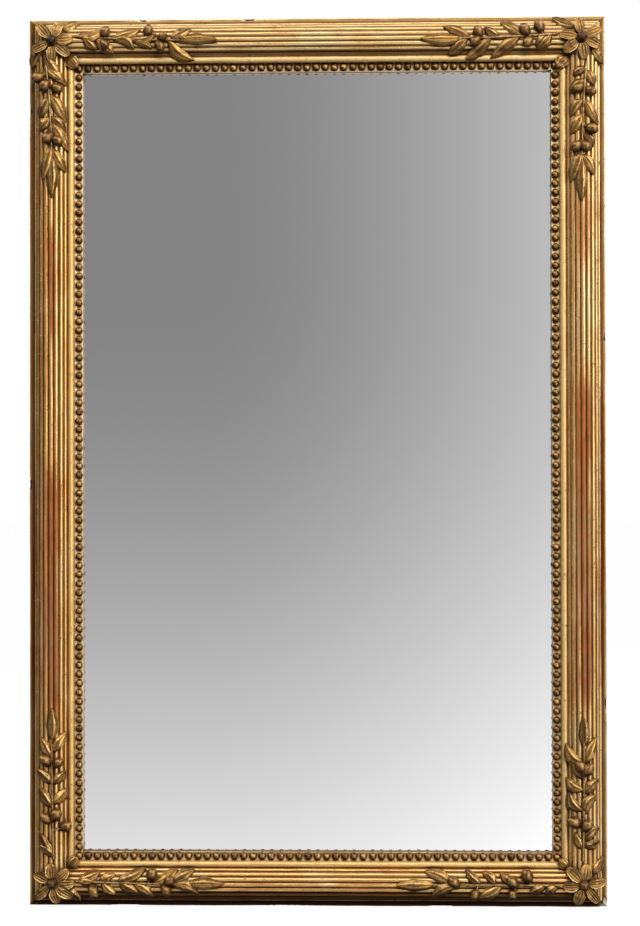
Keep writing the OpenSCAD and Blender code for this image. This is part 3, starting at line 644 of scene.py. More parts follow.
def wood(name, upright, dark, light, dusty):
    """Old planed wood with its grain upright or across, darker where dust and hands have marked it."""
    look = new_material(name)
    order = 1 if upright else -1
    stretch = (130, 60, 7)[::order]
    grain = look.noise(look.place(stretch), 5.0, 0.62)
    fibre = look.noise(look.place(tuple(9 * k for k in stretch)), 2.0)
    rings = look.add("ShaderNodeTexWave", 1, wave_type="BANDS", bands_direction="X" if upright else "Z",
                     sockets={"Vector": look.place((3.2, 3, 0.35)[::order]), "Scale": 1.0,
                              "Distortion": 16.0, "Detail": 3.0, "Detail Scale": 1.4})
    stain = look.step(look.spots(6, 4.0), 0.45, 0.75, 0.0, 0.55)
    colour = look.blend(grain * 0.8 + rings * 0.35, light, dark)
    colour = look.blend(stain, colour, dusty)
    # Painted shade in corners and beside other parts
    colour = look.blend(look.occlusion_shade(0.01) * 0.6, colour, srgb(50, 34, 22))
    rough = look.step(grain, 0.3, 0.7, 0.62, 0.85)
    return look.finish(colour, rough, 0.0, look.bump(grain * 0.6 + fibre * 0.4, 0.0012, 0.5))


def old_iron():
    look = new_material("dark_iron")
    rust = look.spots(120, 5.0, 0.7)
    rusty = look.step(rust, 0.5, 0.68)
    colour = look.blend(rusty, srgb(52, 48, 45), srgb(112, 66, 40))
    rough = look.step(rust, 0.3, 0.7, 0.4, 0.75)
    pits = look.spots(700, 2.0)
    return look.finish(colour, rough, (0.85 - rusty).clamped(), look.bump(pits, 0.0005, 0.5))


def dull_steel():
    look = new_material("steel_screws")
    stain = look.spots(260, 4.0, 0.7)
    colour = look.blend(look.step(stain, 0.45, 0.7), srgb(120, 116, 110), srgb(92, 66, 46))
    rough = look.step(stain, 0.3, 0.7, 0.32, 0.6)
    return look.finish(colour, rough, 0.85, look.bump(stain, 0.0004, 0.4))


def floor_white():
    """Pale floor that is as white as the background to the camera, but for the object's soft shadow."""
    look = new_material("pale_floor")
    look.finish(srgb(235, 234, 232), 0.9)
    painted = Value(look, look.tree.nodes["Principled BSDF"].outputs[0])
    glow = look.add("ShaderNodeEmission", sockets={"Color": (1, 1, 1, 1), "Strength": 1.1})
    share = look.add("ShaderNodeLightPath", "Is Camera Ray") * 0.85
    mixed = look.add("ShaderNodeMixShader", sockets={0: share, 1: painted, 2: glow})
    look.put(look.tree.nodes["Material Output"].inputs["Surface"], mixed)
    return look.owner


# ---------- mouldings ----------


def arc(centre, radius, start, end, step=0.3):
    """Points of an arc, with angles in degrees from straight out of the wall towards the glass."""
    count = max(2, int(abs(math.radians(end - start)) * radius / step))
    a = np.radians(np.linspace(start, end, count))
    return np.stack([centre[0] + radius * np.sin(a), centre[1] + radius * np.cos(a)], -1)


def bearing(a, b):
    """Direction from a to b, in an arc's degrees."""
    return math.degrees(math.atan2(b[0] - a[0], b[1] - a[1]))


def meeting(r_a, r_b, apart):
    """Half the angle, seen from a's centre, between the two crossings of circles a and b."""
    return math.degrees(math.acos((apart ** 2 + r_a ** 2 - r_b ** 2) / (2 * apart * r_a)))


def front_path():
    """The gilded face of the moulding as (u, h), from the foot of the outer side to the back of the lip."""
    half = (REED_COUNT - 1) // 2
    turns = [math.radians(k * REED_STEP) for k in range(-half, half + 1)]
    reeds = [(HUMP_U + REED_ORBIT * math.sin(a), HUMP_H + REED_ORBIT * math.cos(a)) for a in turns]
    circles = [(reed, REED_R) for reed in reeds] + [((ROUND_U, ROUND_H), ROUND_R)]
    starts = [-math.degrees(math.acos((WEB_H - reeds[0][1]) / REED_R))]
    ends = []
    for (a, r_a), (b, r_b) in zip(circles, circles[1:]):
        apart = math.dist(a, b)
        ends.append(bearing(a, b) - meeting(r_a, r_b, apart))
        starts.append(bearing(b, a) + meeting(r_b, r_a, apart))
    ends.append(180 - math.degrees(math.asin((WALL_U - ROUND_U) / ROUND_R)))
    outer_side = [[0, 0], [0, SIDE_H], [FILLET_W, SIDE_H]]
    cove = arc((FILLET_W, WEB_H), COVE_R, 180, 90)
    crests = [arc(centre, radius, *angles) for (centre, radius), *angles in zip(circles, starts, ends)]
    lip = [[WALL_U, LEDGE_H], [RAIL_W, LEDGE_H], [RAIL_W, GLASS_H]]
    return np.concatenate([outer_side, cove, *crests, lip])


def run_length(path):
    """How far along its path each point lies."""
    return np.concatenate([[0], np.cumsum(np.hypot(*np.diff(path, axis=0).T))])


def resampled(path, step):
    length = run_length(path)
    at = np.linspace(0, length[-1], max(2, round(length[-1] / step) + 1))
    return np.stack([np.interp(at, length, path[:, k]) for k in (0, 1)], -1)


def softened(path, reach):
    """A path whose corners are rounded over about reach points, with its ends kept."""
    n = 3 * reach
    weights = np.exp(-0.5 * (np.arange(-n, n + 1) / reach) ** 2)
    padded = np.concatenate([2 * path[:1] - path[n:0:-1], path, 2 * path[-1:] - path[-2:-n - 2:-1]])
    return np.stack([np.convolve(padded[:, k], weights / weights.sum(), "valid") for k in (0, 1)], -1)


def section():
    """The gilded face as (u, h), its outward directions, and how far it stands proud of what is around."""
    fine_step, soft_reach, broad_reach, keep_every = 0.1, 4, 24, 9
    path = resampled(front_path(), fine_step)
    soft = softened(path, soft_reach)
    around = softened(path, broad_reach)
    direction = np.gradient(soft, axis=0)
    direction /= np.hypot(*direction.T)[:, None]
    outward = np.stack([-direction[:, 1], direction[:, 0]], -1)
    proud = np.sum((soft - around) * outward, -1)
    return soft[::keep_every], outward[::keep_every], proud[::keep_every]


def stations(i):
    """Places along side i at the outer edge, as (fixed places, shares from there to the mitre)."""
    mitre_room, spacing, mitre_rows, crowding = 12, 5.0, 22, 1.35
    reach = side_len(i) / 2 - RAIL_W - mitre_room
    places = np.linspace(-reach, reach, round(2 * reach / spacing) + 1)
    if i % 2 == 1:
        low, high = pocket_run(i)
        places = places[(np.abs(places - low) > 1) & (np.abs(places - high) > 1)]
        walls = [low - STEP_EDGE, low + STEP_EDGE, high - STEP_EDGE, high + STEP_EDGE]
        places = np.sort(np.concatenate([places, walls]))
    return places, 1 - np.linspace(1, 0, mitre_rows + 1)[1:] ** crowding


def pocket_run(i):
    """Where an upright's ring pocket starts and ends, along that side."""
    if i == 1:
        return RING_Z - POCKET_BELOW, RING_Z + POCKET_ABOVE
    return -RING_Z - POCKET_ABOVE, -RING_Z + POCKET_BELOW


STEP_EDGE = 0.02    # half the width of the slopes that stand for the ring pockets' upright walls
BACK_SUNK = 0.06    # the moulding's back lies this far off the wall, so that the corner keys' faces show
# Places where the edge is chipped: [side, along it, u, reach along, reach across, depth, whether gesso shows]
LOSSES = [
    [1, -764, 3, 7, 8, 2.5, 1], [0, 494, 3, 7, 8, 2.5, 1], [0, -330, 1, 26, 3, 1.6, 0],
    [0, -60, 1, 32, 3, 1.4, 0], [0, 210, 1, 22, 3, 1.6, 0], [3, 40, 1, 9, 2.5, 0.9, 0],
    [1, 215, 1, 7, 2.5, 0.8, 0], [1, -420, 1, 11, 2.5, 0.9, 0], [2, 120, 1, 10, 2.5, 0.8, 0],
    [3, -610, 1, 12, 3, 1.2, 0], [2, 300, 1, 8, 2.5, 0.9, 0]]
# How far the red bole shows on each side, and how far the gold is dulled and pale: by dust, and, on the
# bottom rail, as a painted highlight as well
REDNESS = [0.35, 1.0, 0.4, 0.95]
DUST_AND_SHEEN = [0.4, 0.55, 0.75, 0.3]
# Where along a side the red is strong: [side, from s, to s, how much of it]
RED_RUNS = [[0, -800, 800, 0.8], [2, -800, 800, 0.8], [1, -420, 130, 1.0], [1, 330, 480, 0.7],
            [3, 10, 440, 1.0], [3, -410, -220, 0.72]]
# Bands of painted shade on parts of the mouldings that face away from the light, such as the bottom rail's
# outer side and the reeds under the top rail's hump: [side, from u, to u, how much]
SHADE_BANDS = [[0, -10, 30, 0.9], [1, -10, 6, 0.4], [2, 59, 67, 0.85], [3, -10, 6, 0.35]]


def strongest(runs, i, at, soft):
    """The most that any of side i's runs, [side, from, to, amount], gives at each place."""
    most = np.zeros(np.shape(at))
    for side, start, end, amount in runs:
        if side == i:
            within = smooth_step(start - soft, start + soft, at) * smooth_step(end + soft, end - soft, at)
            most = np.maximum(most, amount * within)
    return most


def unevenness(i, s, length, u, h, inside):
    """How far the gilded face swells or is chipped, with the chips' places and where gesso shows in them."""
    wave = 0.16 * ripple(s, length, WAVE_SEED + i, 190, 60) + 0.11 * ripple(s, length, DENT_SEED + i, 45, 22)
    loss, pale = np.zeros(s.shape), np.zeros(s.shape)
    lowest_chip = 8
    for side, along, across, reach, wide, depth, gesso in LOSSES:
        if side == i:
            ragged = 1 + 0.35 * ripple(s, length, CHIP_SEED + reach, 9, 5)
            away = np.hypot((s - along) / reach, (u - across) / wide) / ragged
            hit = smooth_step(1.15, 0.75, away) * (h > lowest_chip)
            loss = np.maximum(loss, hit)
            pale = np.maximum(pale, gesso * (hit > 0))
            wave = wave * (1 - hit) - depth * hit / np.maximum(inside, 0.05)
    return wave, loss, pale


def moulding(i, materials):
    """The section run along side i from mitre to mitre, with its wear, its painted highlights and shade, and
    a ring pocket in an upright.
    """
    face, outward, proud = section()
    pocket = [BACK_U / 2 + POCKET_W / 2, BACK_U / 2 - POCKET_W / 2]
    back = [[GLASS_U, GLASS_H], [GLASS_U, BACK_T], [BACK_U, BACK_T], [BACK_U, BACK_SUNK],
            [pocket[0] + STEP_EDGE, BACK_SUNK], [pocket[0] - STEP_EDGE, BACK_SUNK], [BACK_U / 2, BACK_SUNK],
            [pocket[1] + STEP_EDGE, BACK_SUNK], [pocket[1] - STEP_EDGE, BACK_SUNK]]
    loop = np.concatenate([face, np.array(back)])
    loop_u, loop_h = loop.T
    m, f = len(loop), len(face)
    length = run_length(loop)

    def on_face(values):
        """Values of the face's points, and 0 at the back's."""
        return np.concatenate([values, np.zeros((m - f,) + values.shape[1:])])

    places, steps = stations(i)
    mitre = side_len(i) / 2 - loop_u
    left = places[0] + (-mitre - places[0]) * steps[::-1, None]
    right = places[-1] + (mitre - places[-1]) * steps[:, None]
    s = np.concatenate([left, np.broadcast_to(places[:, None], (len(places), m)), right])
    u, h = [np.broadcast_to(v, s.shape).copy() for v in (loop_u, loop_h)]
    to_mitre = mitre - np.abs(s)
    inside = smooth_step(0, 14, to_mitre)
    wave, loss, pale = unevenness(i, s, length, u, h, inside)
    gilded = on_face(smooth_step(10, 34, length[:f]) * smooth_step(0, 6, length[f - 1] - length[:f]))
    normal = on_face(outward)
    shift = wave * inside * gilded
    u += shift * normal[:, 0]
    h += shift * normal[:, 1]
    if i % 2 == 1:
        low, high = pocket_run(i)
        floor = (loop_h == BACK_SUNK) & (loop_u < pocket[0]) & (loop_u > pocket[1])
        h[(s > low) & (s < high) & floor] = POCKET_D
    # Wear: grime in the mitres, bare wood at the back, and bole on the crest and in the outer cove
    mitre_crack = 0.9 * smooth_step(1.1, 0.3, to_mitre)
    bare = np.zeros(m)
    bare[0] = 1
    bare[f - 3:] = 1
    crest = np.exp(-((loop_u - HUMP_U) / 17) ** 2) * (loop_h > WEB_H - 4)
    cove = np.exp(-((loop_u - COVE_R) / 6) ** 2) * (loop_h > SIDE_H - 1)
    red = REDNESS[i] * (0.3 + 0.7 * strongest(RED_RUNS, i, s, 50)) * np.maximum(crest, 0.8 * cove)
    round_edge = ROUND_U - ROUND_R
    # Wear and a painted highlight where the face stands proud, grime and painted shade in the grooves, and
    # grime in the mitres
    layers = {
        "worn": on_face(np.clip(proud / 0.75, 0, 1)),
        "dirt": np.maximum(on_face(np.clip(-proud / 0.42 - 0.2, 0, 1)), mitre_crack),
        "loss": loss, "pale": pale, "red": red, "bare": bare, "dusty": DUST_AND_SHEEN[i],
        "satin": smooth_step(round_edge + 1, round_edge + 2.5, loop_u) * (loop_h > ROUND_H - 1),
        "ochre": on_face(smooth_step(38, 26, length[:f])),
        "shade_band": strongest(SHADE_BANDS, i, loop_u, 1.5),
        "flow_s": s * MM, "flow_v": length * MM, "flow_side": i}
    layers = {name: np.broadcast_to(value, s.shape) for name, value in layers.items()}
    build = Build()
    build.add(on_side(i, s, u, h), tube_faces(*s.shape), **layers)
    name = SIDES[i]
    build.piece(f"gilding_{name}", materials, "gilded_moulding", [f"moulding_{name}"], sharp=50)


# ---------- beads ----------


# Painted shade on the beads' strip on each side, at its outer and its inner edge, darkest along the upper
# edge of the top and bottom strips
STRIP_SHADE = [[0.3, 0.7], [0.1, 0.0], [0.8, 0.35], [0.0, 0.15]]
# The cast beads are a little larger than the model's plain ones, and sit a little nearer to the glass
BEAD_EXTRA = 0.9
BEAD_SHIFT = 0.5
STRIP_TOP = LEDGE_H + STRIP_T


def add_strip(build, i, count):
    """The flat gilt strip, with a small cove up to the round, in count lengths."""
    cove = WALL_U + 0.1 - STRIP_U + np.array([0, 0, 0.8, 1.9, 3.2])
    across = STRIP_U + np.concatenate([cove, STRIP_W * np.array([0.5, 0.8, 0.93, 1, 1])])
    height = STRIP_TOP + np.array([-STRIP_T, 3.0, 1.5, 0.5, 0, -0.2, -0.2, 0, -0.4, -STRIP_T])
    places = np.linspace(-1, 1, count + 1)
    s = places[:, None] * (side_len(i) / 2 - across)
    outer, inner = STRIP_SHADE[i]
    # Painted shade across the strip, from its outer to its inner edge
    tone = outer + (inner - outer) * smooth_step(0.3, 0.7, (across - STRIP_U) / STRIP_W)
    build.add(on_side(i, s, across, height), tube_faces(*s.shape), dirt=np.broadcast_to(tone, s.shape))


def add_bead(build, i, along, rng):
    """A cast bead on the strip, each a little different in size, shape and place."""
    size = (BEAD_R + BEAD_EXTRA) * (1 - abs(rng.normal(0, 0.018)))
    sunk = math.asin(BEAD_RISE / BEAD_R)
    lift = np.linspace(0, 1, 11) * (math.pi / 2 + sunk) - sunk
    profile = size * np.stack([np.cos(lift), np.sin(lift)], -1)
    profile = np.concatenate([[[profile[0, 0], -BEAD_RISE - 0.5]], profile[:-1], [[0.35, profile[-1, 1]]]])
    tilt = np.array([rng.normal(0, 0.05), rng.normal(0, 0.05), 1])
    dome, faces = lathe(profile, 18, axis=tilt)
    dome = dome * np.array([1 + rng.normal(0, 0.02), 1 + rng.normal(0, 0.02), 1])
    x, y, rise = dome.T
    s = along + rng.normal(0, 0.2) + x
    u = BEAD_U + BEAD_SHIFT + rng.normal(0, 0.15) + y
    # The bead's top gets a painted highlight, and its low sides painted shade
    build.add(on_side(i, s, u, STRIP_TOP + BEAD_RISE + rise), faces, slot=1,
              tone=drawn_tone(rng, 0.45, 0.28), worn=smooth_step(3.2, 5.6, rise) * rng.uniform(0.2, 1),
              dirt=0.5 * smooth_step(4.5, -1.0, rise))


def bead_strip(i, materials):
    """A strip with its beads. The uprights' strips have the beads of the corners."""
    rng = np.random.default_rng(BEAD_SEED + i)
    run = side_len(i) - 2 * BEAD_U
    count = round(run / BEAD_PITCH)
    build = Build()
    add_strip(build, i, count)
    upright = i % 2
    for k in range(1 - upright, count + upright):
        add_bead(build, i, k * run / count - run / 2, rng)
    name = SIDES[i]
    build.piece(f"beads_{name}", materials, "gilded_beads", [f"bead_strip_{name}"], sharp=60)


# ---------- leaves, berries and rosettes ----------

LEAF_FULLNESS = 1.36    # how much wider a leaf is than the plain one of the model
LEAF_WIDEST = 15.5      # above this, a plain leaf's width no longer grows with its length
ALONG = np.linspace(0, 1, 25)[:, None]
ACROSS = np.linspace(-1, 1, 17)[None, :]


def twice(layer):
    """A grid's values, for the upper and then the lower face of a slab."""
    return np.concatenate([layer.ravel(), layer.ravel()])


def leaf_width(t):
    """Half-width of a laurel leaf as a share of its widest, from root to tip."""
    return np.clip(1 - (np.abs(t - 0.47) / 0.53) ** 1.9, 0.012, 1) ** 0.82


def ribbed_relief(length):
    """Relief of a leaf's upper face: a creased midrib, lengthwise ribs and slanting side veins."""
    t, a = ALONG, np.abs(ACROSS)
    middle = np.sin(math.pi * np.clip(t, 0.02, 1)) ** 0.6
    pillow = 0.75 * np.sin(math.pi * np.clip(a, 0, 1)) * middle
    ribs = 0.24 * np.cos(TAU * a * 2.2) * middle * smooth_step(0.1, 0.3, a)
    veins = 0.14 * np.sin((t * length - a * 7) * TAU / 5.0) * smooth_step(0.15, 0.4, a)
    crease = -1.1 * np.exp(-(a / 0.11) ** 2) * middle
    return pillow + ribs + veins + crease


def leaf_layers(relief, rng):
    """Wear and a painted highlight on the ribs and edges, grime and painted shade in the crease, in low
    places and at the root, and one tone for the leaf.
    """
    a = np.broadcast_to(np.abs(ACROSS), relief.shape)
    worn = np.clip(smooth_step(0.35, 1.0, relief) + smooth_step(0.8, 1.0, a) * 0.8, 0, 1)
    dirt = np.clip(np.exp(-(a / 0.1) ** 2) * 0.9 + smooth_step(0.1, -0.5, relief) * 0.5, 0, 1)
    dirt = np.maximum(dirt, smooth_step(0.22, 0.0, np.broadcast_to(ALONG, relief.shape)) * 0.6)
    return {"worn": twice(worn), "dirt": twice(dirt), "tone": drawn_tone(rng, 0.5, 0.28)}


def add_leaf(build, start, end, width, rng):
    """A laurel leaf on a rail, from start to end in (along, across)."""
    start, end = np.array(start, float), np.array(end, float)
    run = end - start
    length = np.linalg.norm(run)
    sideways = np.array([-run[1], run[0]]) / length
    bend = rng.normal(0, 0.075) * length * np.sin(math.pi * ALONG)
    wavy = 1 + 0.05 * np.sin(ALONG * TAU * 2.5 + rng.uniform(0, TAU))
    half = leaf_width(ALONG) * wavy * width * LEAF_FULLNESS / 2
    offset = bend + ACROSS * half
    flat = start + ALONG[..., None] * run + offset[..., None] * sideways
    relief = ribbed_relief(length)
    curl = rng.uniform(-1.0, 3.4) * ALONG ** 3
    lift = np.interp(ALONG, [0, 0.2, 0.5, 0.8, 1], [2, 4.5, 6, 5, 3.4]) + curl
    fullest = np.sin(math.pi * np.clip(ALONG, 0.06, 0.97)) ** 0.5
    fold = (4.5 + rng.uniform(-0.6, 1.3)) * np.abs(ACROSS) ** 1.25 * fullest
    roll = rng.uniform(-1, 1) * 4.2 * ACROSS * np.sin(math.pi * ALONG)
    ground = 0.6 * lie(flat[..., 1]) + 0.4 * lie((start + ALONG * run)[:, 1])[:, None]
    top_h = ground + lift - fold + roll + relief
    seated = smooth_step(0.75, 0.5, ALONG)
    thin = top_h - 2.2
    low_h = np.minimum(lie(flat[..., 1]) - 2.5, thin)
    bottom_h = seated * low_h + (1 - seated) * thin
    top = np.concatenate([flat, top_h[..., None]], -1)
    bottom = np.concatenate([flat, bottom_h[..., None]], -1)
    points, faces = slab(top, bottom)
    build.add(points, faces, **leaf_layers(relief, rng))


def add_berry(build, centre, radius, heading, rng):
    """An olive-shaped berry that points away from its stalk, with a small cup and a nub."""
    angle = math.pi * np.linspace(0, 1, 15)
    stretch = 1.18
    profile = np.stack([radius * 0.94 * np.sin(angle) ** 0.92, -radius * stretch * np.cos(angle)], -1)
    profile[:, 0] = np.maximum(profile[:, 0], 0.3)
    profile[-1, 1] += 0.7
    axis = np.array([heading[0], heading[1], 0.28])
    points, faces = lathe(profile, 20, centre, axis)
    unit = axis / np.linalg.norm(axis)
    place = (points - centre) @ unit / radius
    up = (points[:, 2] - centre[2]) / radius
    # Painted shade under the berry and at its stalk end, and a painted highlight on its top
    dirt = np.clip(smooth_step(-0.7, -1.1, place) * 0.7 + smooth_step(0.1, -0.6, up) * 0.55, 0, 1)
    worn = smooth_step(0.3, 0.9, up) * rng.uniform(0.4, 1)
    tone = drawn_tone(rng, 0.25, 0.2)
    build.add(points, faces, worn=worn, dirt=dirt, tone=tone, berry=1.0)
    cup = radius * np.array([[0.2, -1.3], [0.5, -1.12], [0.66, -0.82], [0.6, -0.78], [0.3, -0.9]])
    build.add(*lathe(cup, 12, centre, axis), worn=0.3, dirt=0.35, tone=tone)


def add_tube(build, path, radius, tone):
    """A stem along a path of (along, across, out), round in section, with the radius at each point."""
    path = np.asarray(path, float)
    ahead = np.gradient(path, axis=0)
    ahead /= np.linalg.norm(ahead, axis=1)[:, None]
    side = np.cross(ahead, [0, 0, 1])
    side /= np.linalg.norm(side, axis=1)[:, None]
    up = np.cross(side, ahead)
    sides = 10
    angle = np.arange(sides) * TAU / sides
    radius = np.broadcast_to(radius, len(path))[:, None, None]
    ring = np.cos(angle)[None, :, None] * side[:, None] + np.sin(angle)[None, :, None] * up[:, None]
    # A painted highlight along the top of the stem
    worn = np.tile(smooth_step(0.5, 1, np.sin(angle)), len(path)) * 0.7
    build.add(path[:, None] + radius * ring, tube_faces(len(path), sides), worn=worn, dirt=0.15, tone=tone)


def stem_end(k):
    return LEAVES[k][-1][0] + STEM_TAIL


def stem_across(k, s):
    """How far inward the stem of spray k runs, at s along the spray."""
    left = np.maximum(0, 1 - (s + STEM_LEAD) / (stem_end(k) + STEM_LEAD))
    return STEM_LINE + STEM_BEND[k] * left * left


def spray(k, materials):
    rng = np.random.default_rng(SPRAY_SEED + k)
    corner, upward = k // 2, k % 2 == 1
    build = Build(lambda points: from_corner(corner, upward, points))
    count = 60
    s = np.linspace(-STEM_LEAD, stem_end(k), count)
    across = stem_across(k, s)
    knots = 1 + 0.14 * np.sin(s / 4.1 + k) + 0.1 * np.sin(s / 1.9 + 2 * k)
    path = np.stack([SPRAY_START + s, across, lie(across) + 1.4], -1)
    add_tube(build, path, STEM_R * knots * np.linspace(1.15, 0.75, count), 0.3)
    for place, side, length, angle in LEAVES[k]:
        root = (SPRAY_START + place, float(stem_across(k, place)) + side)
        a = math.radians(angle)
        tip = (root[0] + length * math.cos(a), root[1] + side * length * math.sin(a))
        add_leaf(build, root, tip, min(9 + 0.15 * length, LEAF_WIDEST), rng)
    for x0, y0, x1, y1, width in TUCKED.get(k, []):
        add_leaf(build, (x0, y0), (x1, y1), width, rng)
    for place, inset, radius in BERRIES[k]:
        y = float(stem_across(k, place)) + inset
        foot_y = float(stem_across(k, place - 6))
        centre = np.array([SPRAY_START + place, y, float(lie(y)) + 0.55 * radius])
        foot = np.array([SPRAY_START + place - 6, foot_y, float(lie(foot_y)) + 1.2])
        heading = (centre - foot)[:2] / np.linalg.norm((centre - foot)[:2])
        add_berry(build, centre + 0.1 * radius * np.append(heading, 0), radius, heading, rng)
        t = np.linspace(0, 1, 8)[:, None]
        stalk = foot * (1 - t) + centre * t + np.array([0, 0, 1.5]) * np.sin(math.pi * t)
        add_tube(build, stalk, 1.3, 0.3)
    build.piece(f"laurel_{SPRAYS[k]}", materials, "gilded_ornament", [f"spray_{SPRAYS[k]}"], sharp=70)


def petal_grid(length, level, rng):
    """Upper and lower faces of a ribbed petal, hollowed between raised rims, that points along x."""
    t, a = ALONG, ACROSS
    root, widest = 7.0, 9.3
    outline = np.sqrt(np.clip(1 - np.abs(0.84 * 2 * t + 0.32 - 1) ** 2.3, 0.004, 1))
    outline = outline * (0.48 + 0.52 * smooth_step(0, 0.42, t))
    half = widest * (1 + rng.normal(0, 0.04)) * outline
    drift = rng.normal(0, 1.1) * np.sin(math.pi * t)
    middle = np.sin(math.pi * np.clip(t, 0.04, 0.96)) ** 0.7
    ribs = 0.55 * np.cos(a * TAU * 2) * middle
    spine = np.interp(t, [0, 0.15, 0.45, 0.8, 1], [-2.0, -1.4, -1.2, -3.6, -6.2 + rng.uniform(-1.5, 1.5)])
    cup = 2.4 * a ** 2 * middle
    tilt = rng.normal(0, 0.5) * a * middle
    rise = ROSETTE_H + level + spine + ribs + cup + tilt - 0.6 * a ** 8
    x, y = root + (length - root) * t, drift + half * a
    low = np.minimum(rise - 2.2, ROSETTE_H + level - 8.5 - 1.5 * t)
    return grid(x, y, rise), grid(x, y * 0.86, low), ribs


def rosette(corner, materials):
    rng = np.random.default_rng(PETAL_SEED + corner)
    build = Build(lambda points: at_rosette(corner, points))
    for n, (angle, length) in enumerate(PETALS[corner]):
        top, bottom, flutes = petal_grid(length, [0.7, -0.5][n % 2], rng)
        points, faces = slab(top, bottom)
        flutes = np.broadcast_to(flutes, top.shape[:2])
        a = np.broadcast_to(np.abs(ACROSS), flutes.shape)
        # Wear and a painted highlight on the ribs and edges; painted shade and grime in the flutes, down the
        # middle and at the root
        worn = np.clip(smooth_step(0.1, 0.5, flutes) * 0.5 + smooth_step(0.68, 0.92, a), 0, 1)
        dirt = np.clip(smooth_step(-0.1, -0.5, flutes), 0, 1) * 0.85
        dirt = np.maximum(dirt, smooth_step(0.8, 0.4, a) * 0.3)
        dirt = np.maximum(dirt, smooth_step(0.14, 0.0, np.broadcast_to(ALONG, flutes.shape)) * 0.8)
        build.add(turned(points, angle), faces, tone=drawn_tone(rng, 0.8, 0.2),
                  worn=twice(worn), dirt=twice(dirt))
    # Painted shade on the hub under the ball
    hub = [[0.5, SIDE_H + 8], [9.0, SIDE_H + 8], [9.2, ROSETTE_H - 7], [8.9, ROSETTE_H - 3.4],
           [8.3, ROSETTE_H - 2.0], [7.4, ROSETTE_H - 1.2], [0.5, ROSETTE_H - 0.2]]
    build.add(*lathe(hub, 32), worn=0.15, dirt=0.75, tone=0.3)
    name = CORNERS[corner]
    build.piece(f"petals_{name}", materials, "gilded_ornament", [f"rosette_{name}"], sharp=70)


BALL_TONE = [0.4, 1.0, 0.25, 0.0]     # how brown each rosette's ball is


def rosette_ball(corner, materials):
    angle = np.radians(np.linspace(-27, 88, 22))
    boss_rise = 3.5
    dent = 1 + 0.012 * np.sin(5 * angle)
    profile = np.stack([(BOSS_R + 0.4) * np.cos(angle) * dent, boss_rise + BOSS_R * np.sin(angle)], -1)
    build = Build(lambda points: at_rosette(corner, points))
    build.add(*lathe(profile, 40, (0, 0, ROSETTE_H)), tone=BALL_TONE[corner])
    name = CORNERS[corner]
    build.piece(f"ball_{name}", materials, "dark_bronze", [f"rosette_ball_{name}"], sharp=60)


def mitre_leaf(corner, materials):
    """A folded leaf over the mitre. At the top right its tip is curled up."""
    rng = np.random.default_rng(MITRE_LEAF_SEED + corner)
    distance, angle, length, width = MITRE_LEAF[corner]
    t, a = ALONG, ACROSS
    outline = np.interp(t, [0, 0.3, 0.5, 0.8, 1], [0.5, 0.95, 1, 0.68, 0.06])
    half = outline * (1 + 0.05 * np.cos(t * TAU * 2.7)) * (width / 2 + 1.2)
    middle = np.sin(math.pi * np.clip(t, 0.05, 0.95)) ** 0.6
    flutes = 0.5 * np.cos(a * TAU * 2.1) * middle - 0.9 * np.exp(-(a / 0.12) ** 2) * middle
    curl = (3.0 if corner == 2 else 0.8) * smooth_step(0.6, 1, t)
    fold = 3.2 * np.abs(a) ** 1.3
    arch = MITRE_LEAF_ARCH * np.sin(np.radians(140 * t + 20))
    rise = MITRE_LEAF_H + 1.4 + arch + flutes + curl - fold
    x, y = distance + t * length, half * a
    points, faces = slab(grid(x, y, rise), grid(x, 0.8 * y, rise - 6.0))
    flutes = np.broadcast_to(flutes, rise.shape)
    # A painted highlight on the flutes' ridges, and painted shade in their hollows
    worn = smooth_step(0.1, 0.45, flutes)
    dirt = smooth_step(-0.1, -0.6, flutes) * 0.9
    build = Build(lambda points: at_rosette(corner, points))
    build.add(turned(points, angle), faces, tone=rng.uniform(0.3, 0.7),
              worn=twice(worn), dirt=twice(dirt))
    name = CORNERS[corner]
    build.piece(f"mitre_tip_{name}", materials, "gilded_ornament", [f"mitre_leaf_{name}"], sharp=70)


# ---------- back ----------


def screw_places(i):
    count = 4 if i % 2 == 0 else 5
    reach = side_len(i) / 2 - BACK_U - BACK_MEMBER_W - 45
    return np.linspace(-reach, reach, count)


def add_screw(build, place, turn, length):
    """A slotted countersunk screw with its head at the given (x, y, h), pointing into the wood."""
    slot_w, slot_d = 1.1, 0.9
    sunk = 0.03
    count = 15
    slot_angle = math.asin(slot_w / 2 / HEAD_R)
    angles = np.linspace(slot_angle, math.pi - slot_angle, count)
    for half in (0, math.pi):
        rim = HEAD_R * np.stack([np.cos(angles + half), np.sin(angles + half)], -1)
        top = np.column_stack([rim, np.full(count, sunk)])
        floor = np.column_stack([0.81 * rim, np.full(count, slot_d)])
        faces = [list(range(count)), list(range(count, 2 * count))]
        faces += [[k, (k + 1) % count, (k + 1) % count + count, k + count] for k in range(count)]
        build.add(np.array(place) + turned(np.concatenate([top, floor]), turn), faces)
    shank = [[0.3, slot_d], [HEAD_R * 0.8, slot_d], [SCREW_R, HEAD_T], [SCREW_R, length - 3], [0.2, length]]
    build.add(*lathe(shank, 20, place))


def back_screws(materials):
    rng = np.random.default_rng(BACK_SCREW_SEED)
    build = Build()
    for i in range(4):
        for s in screw_places(i):
            place = on_side(i, s, BACK_U + BACK_STEP / 2, 0.0)
            add_screw(build, place, rng.uniform(0, 180), SCREW_L)
    build.piece("slotted_screws_back", materials, "steel_screws", ["back_screws"], sharp=35)


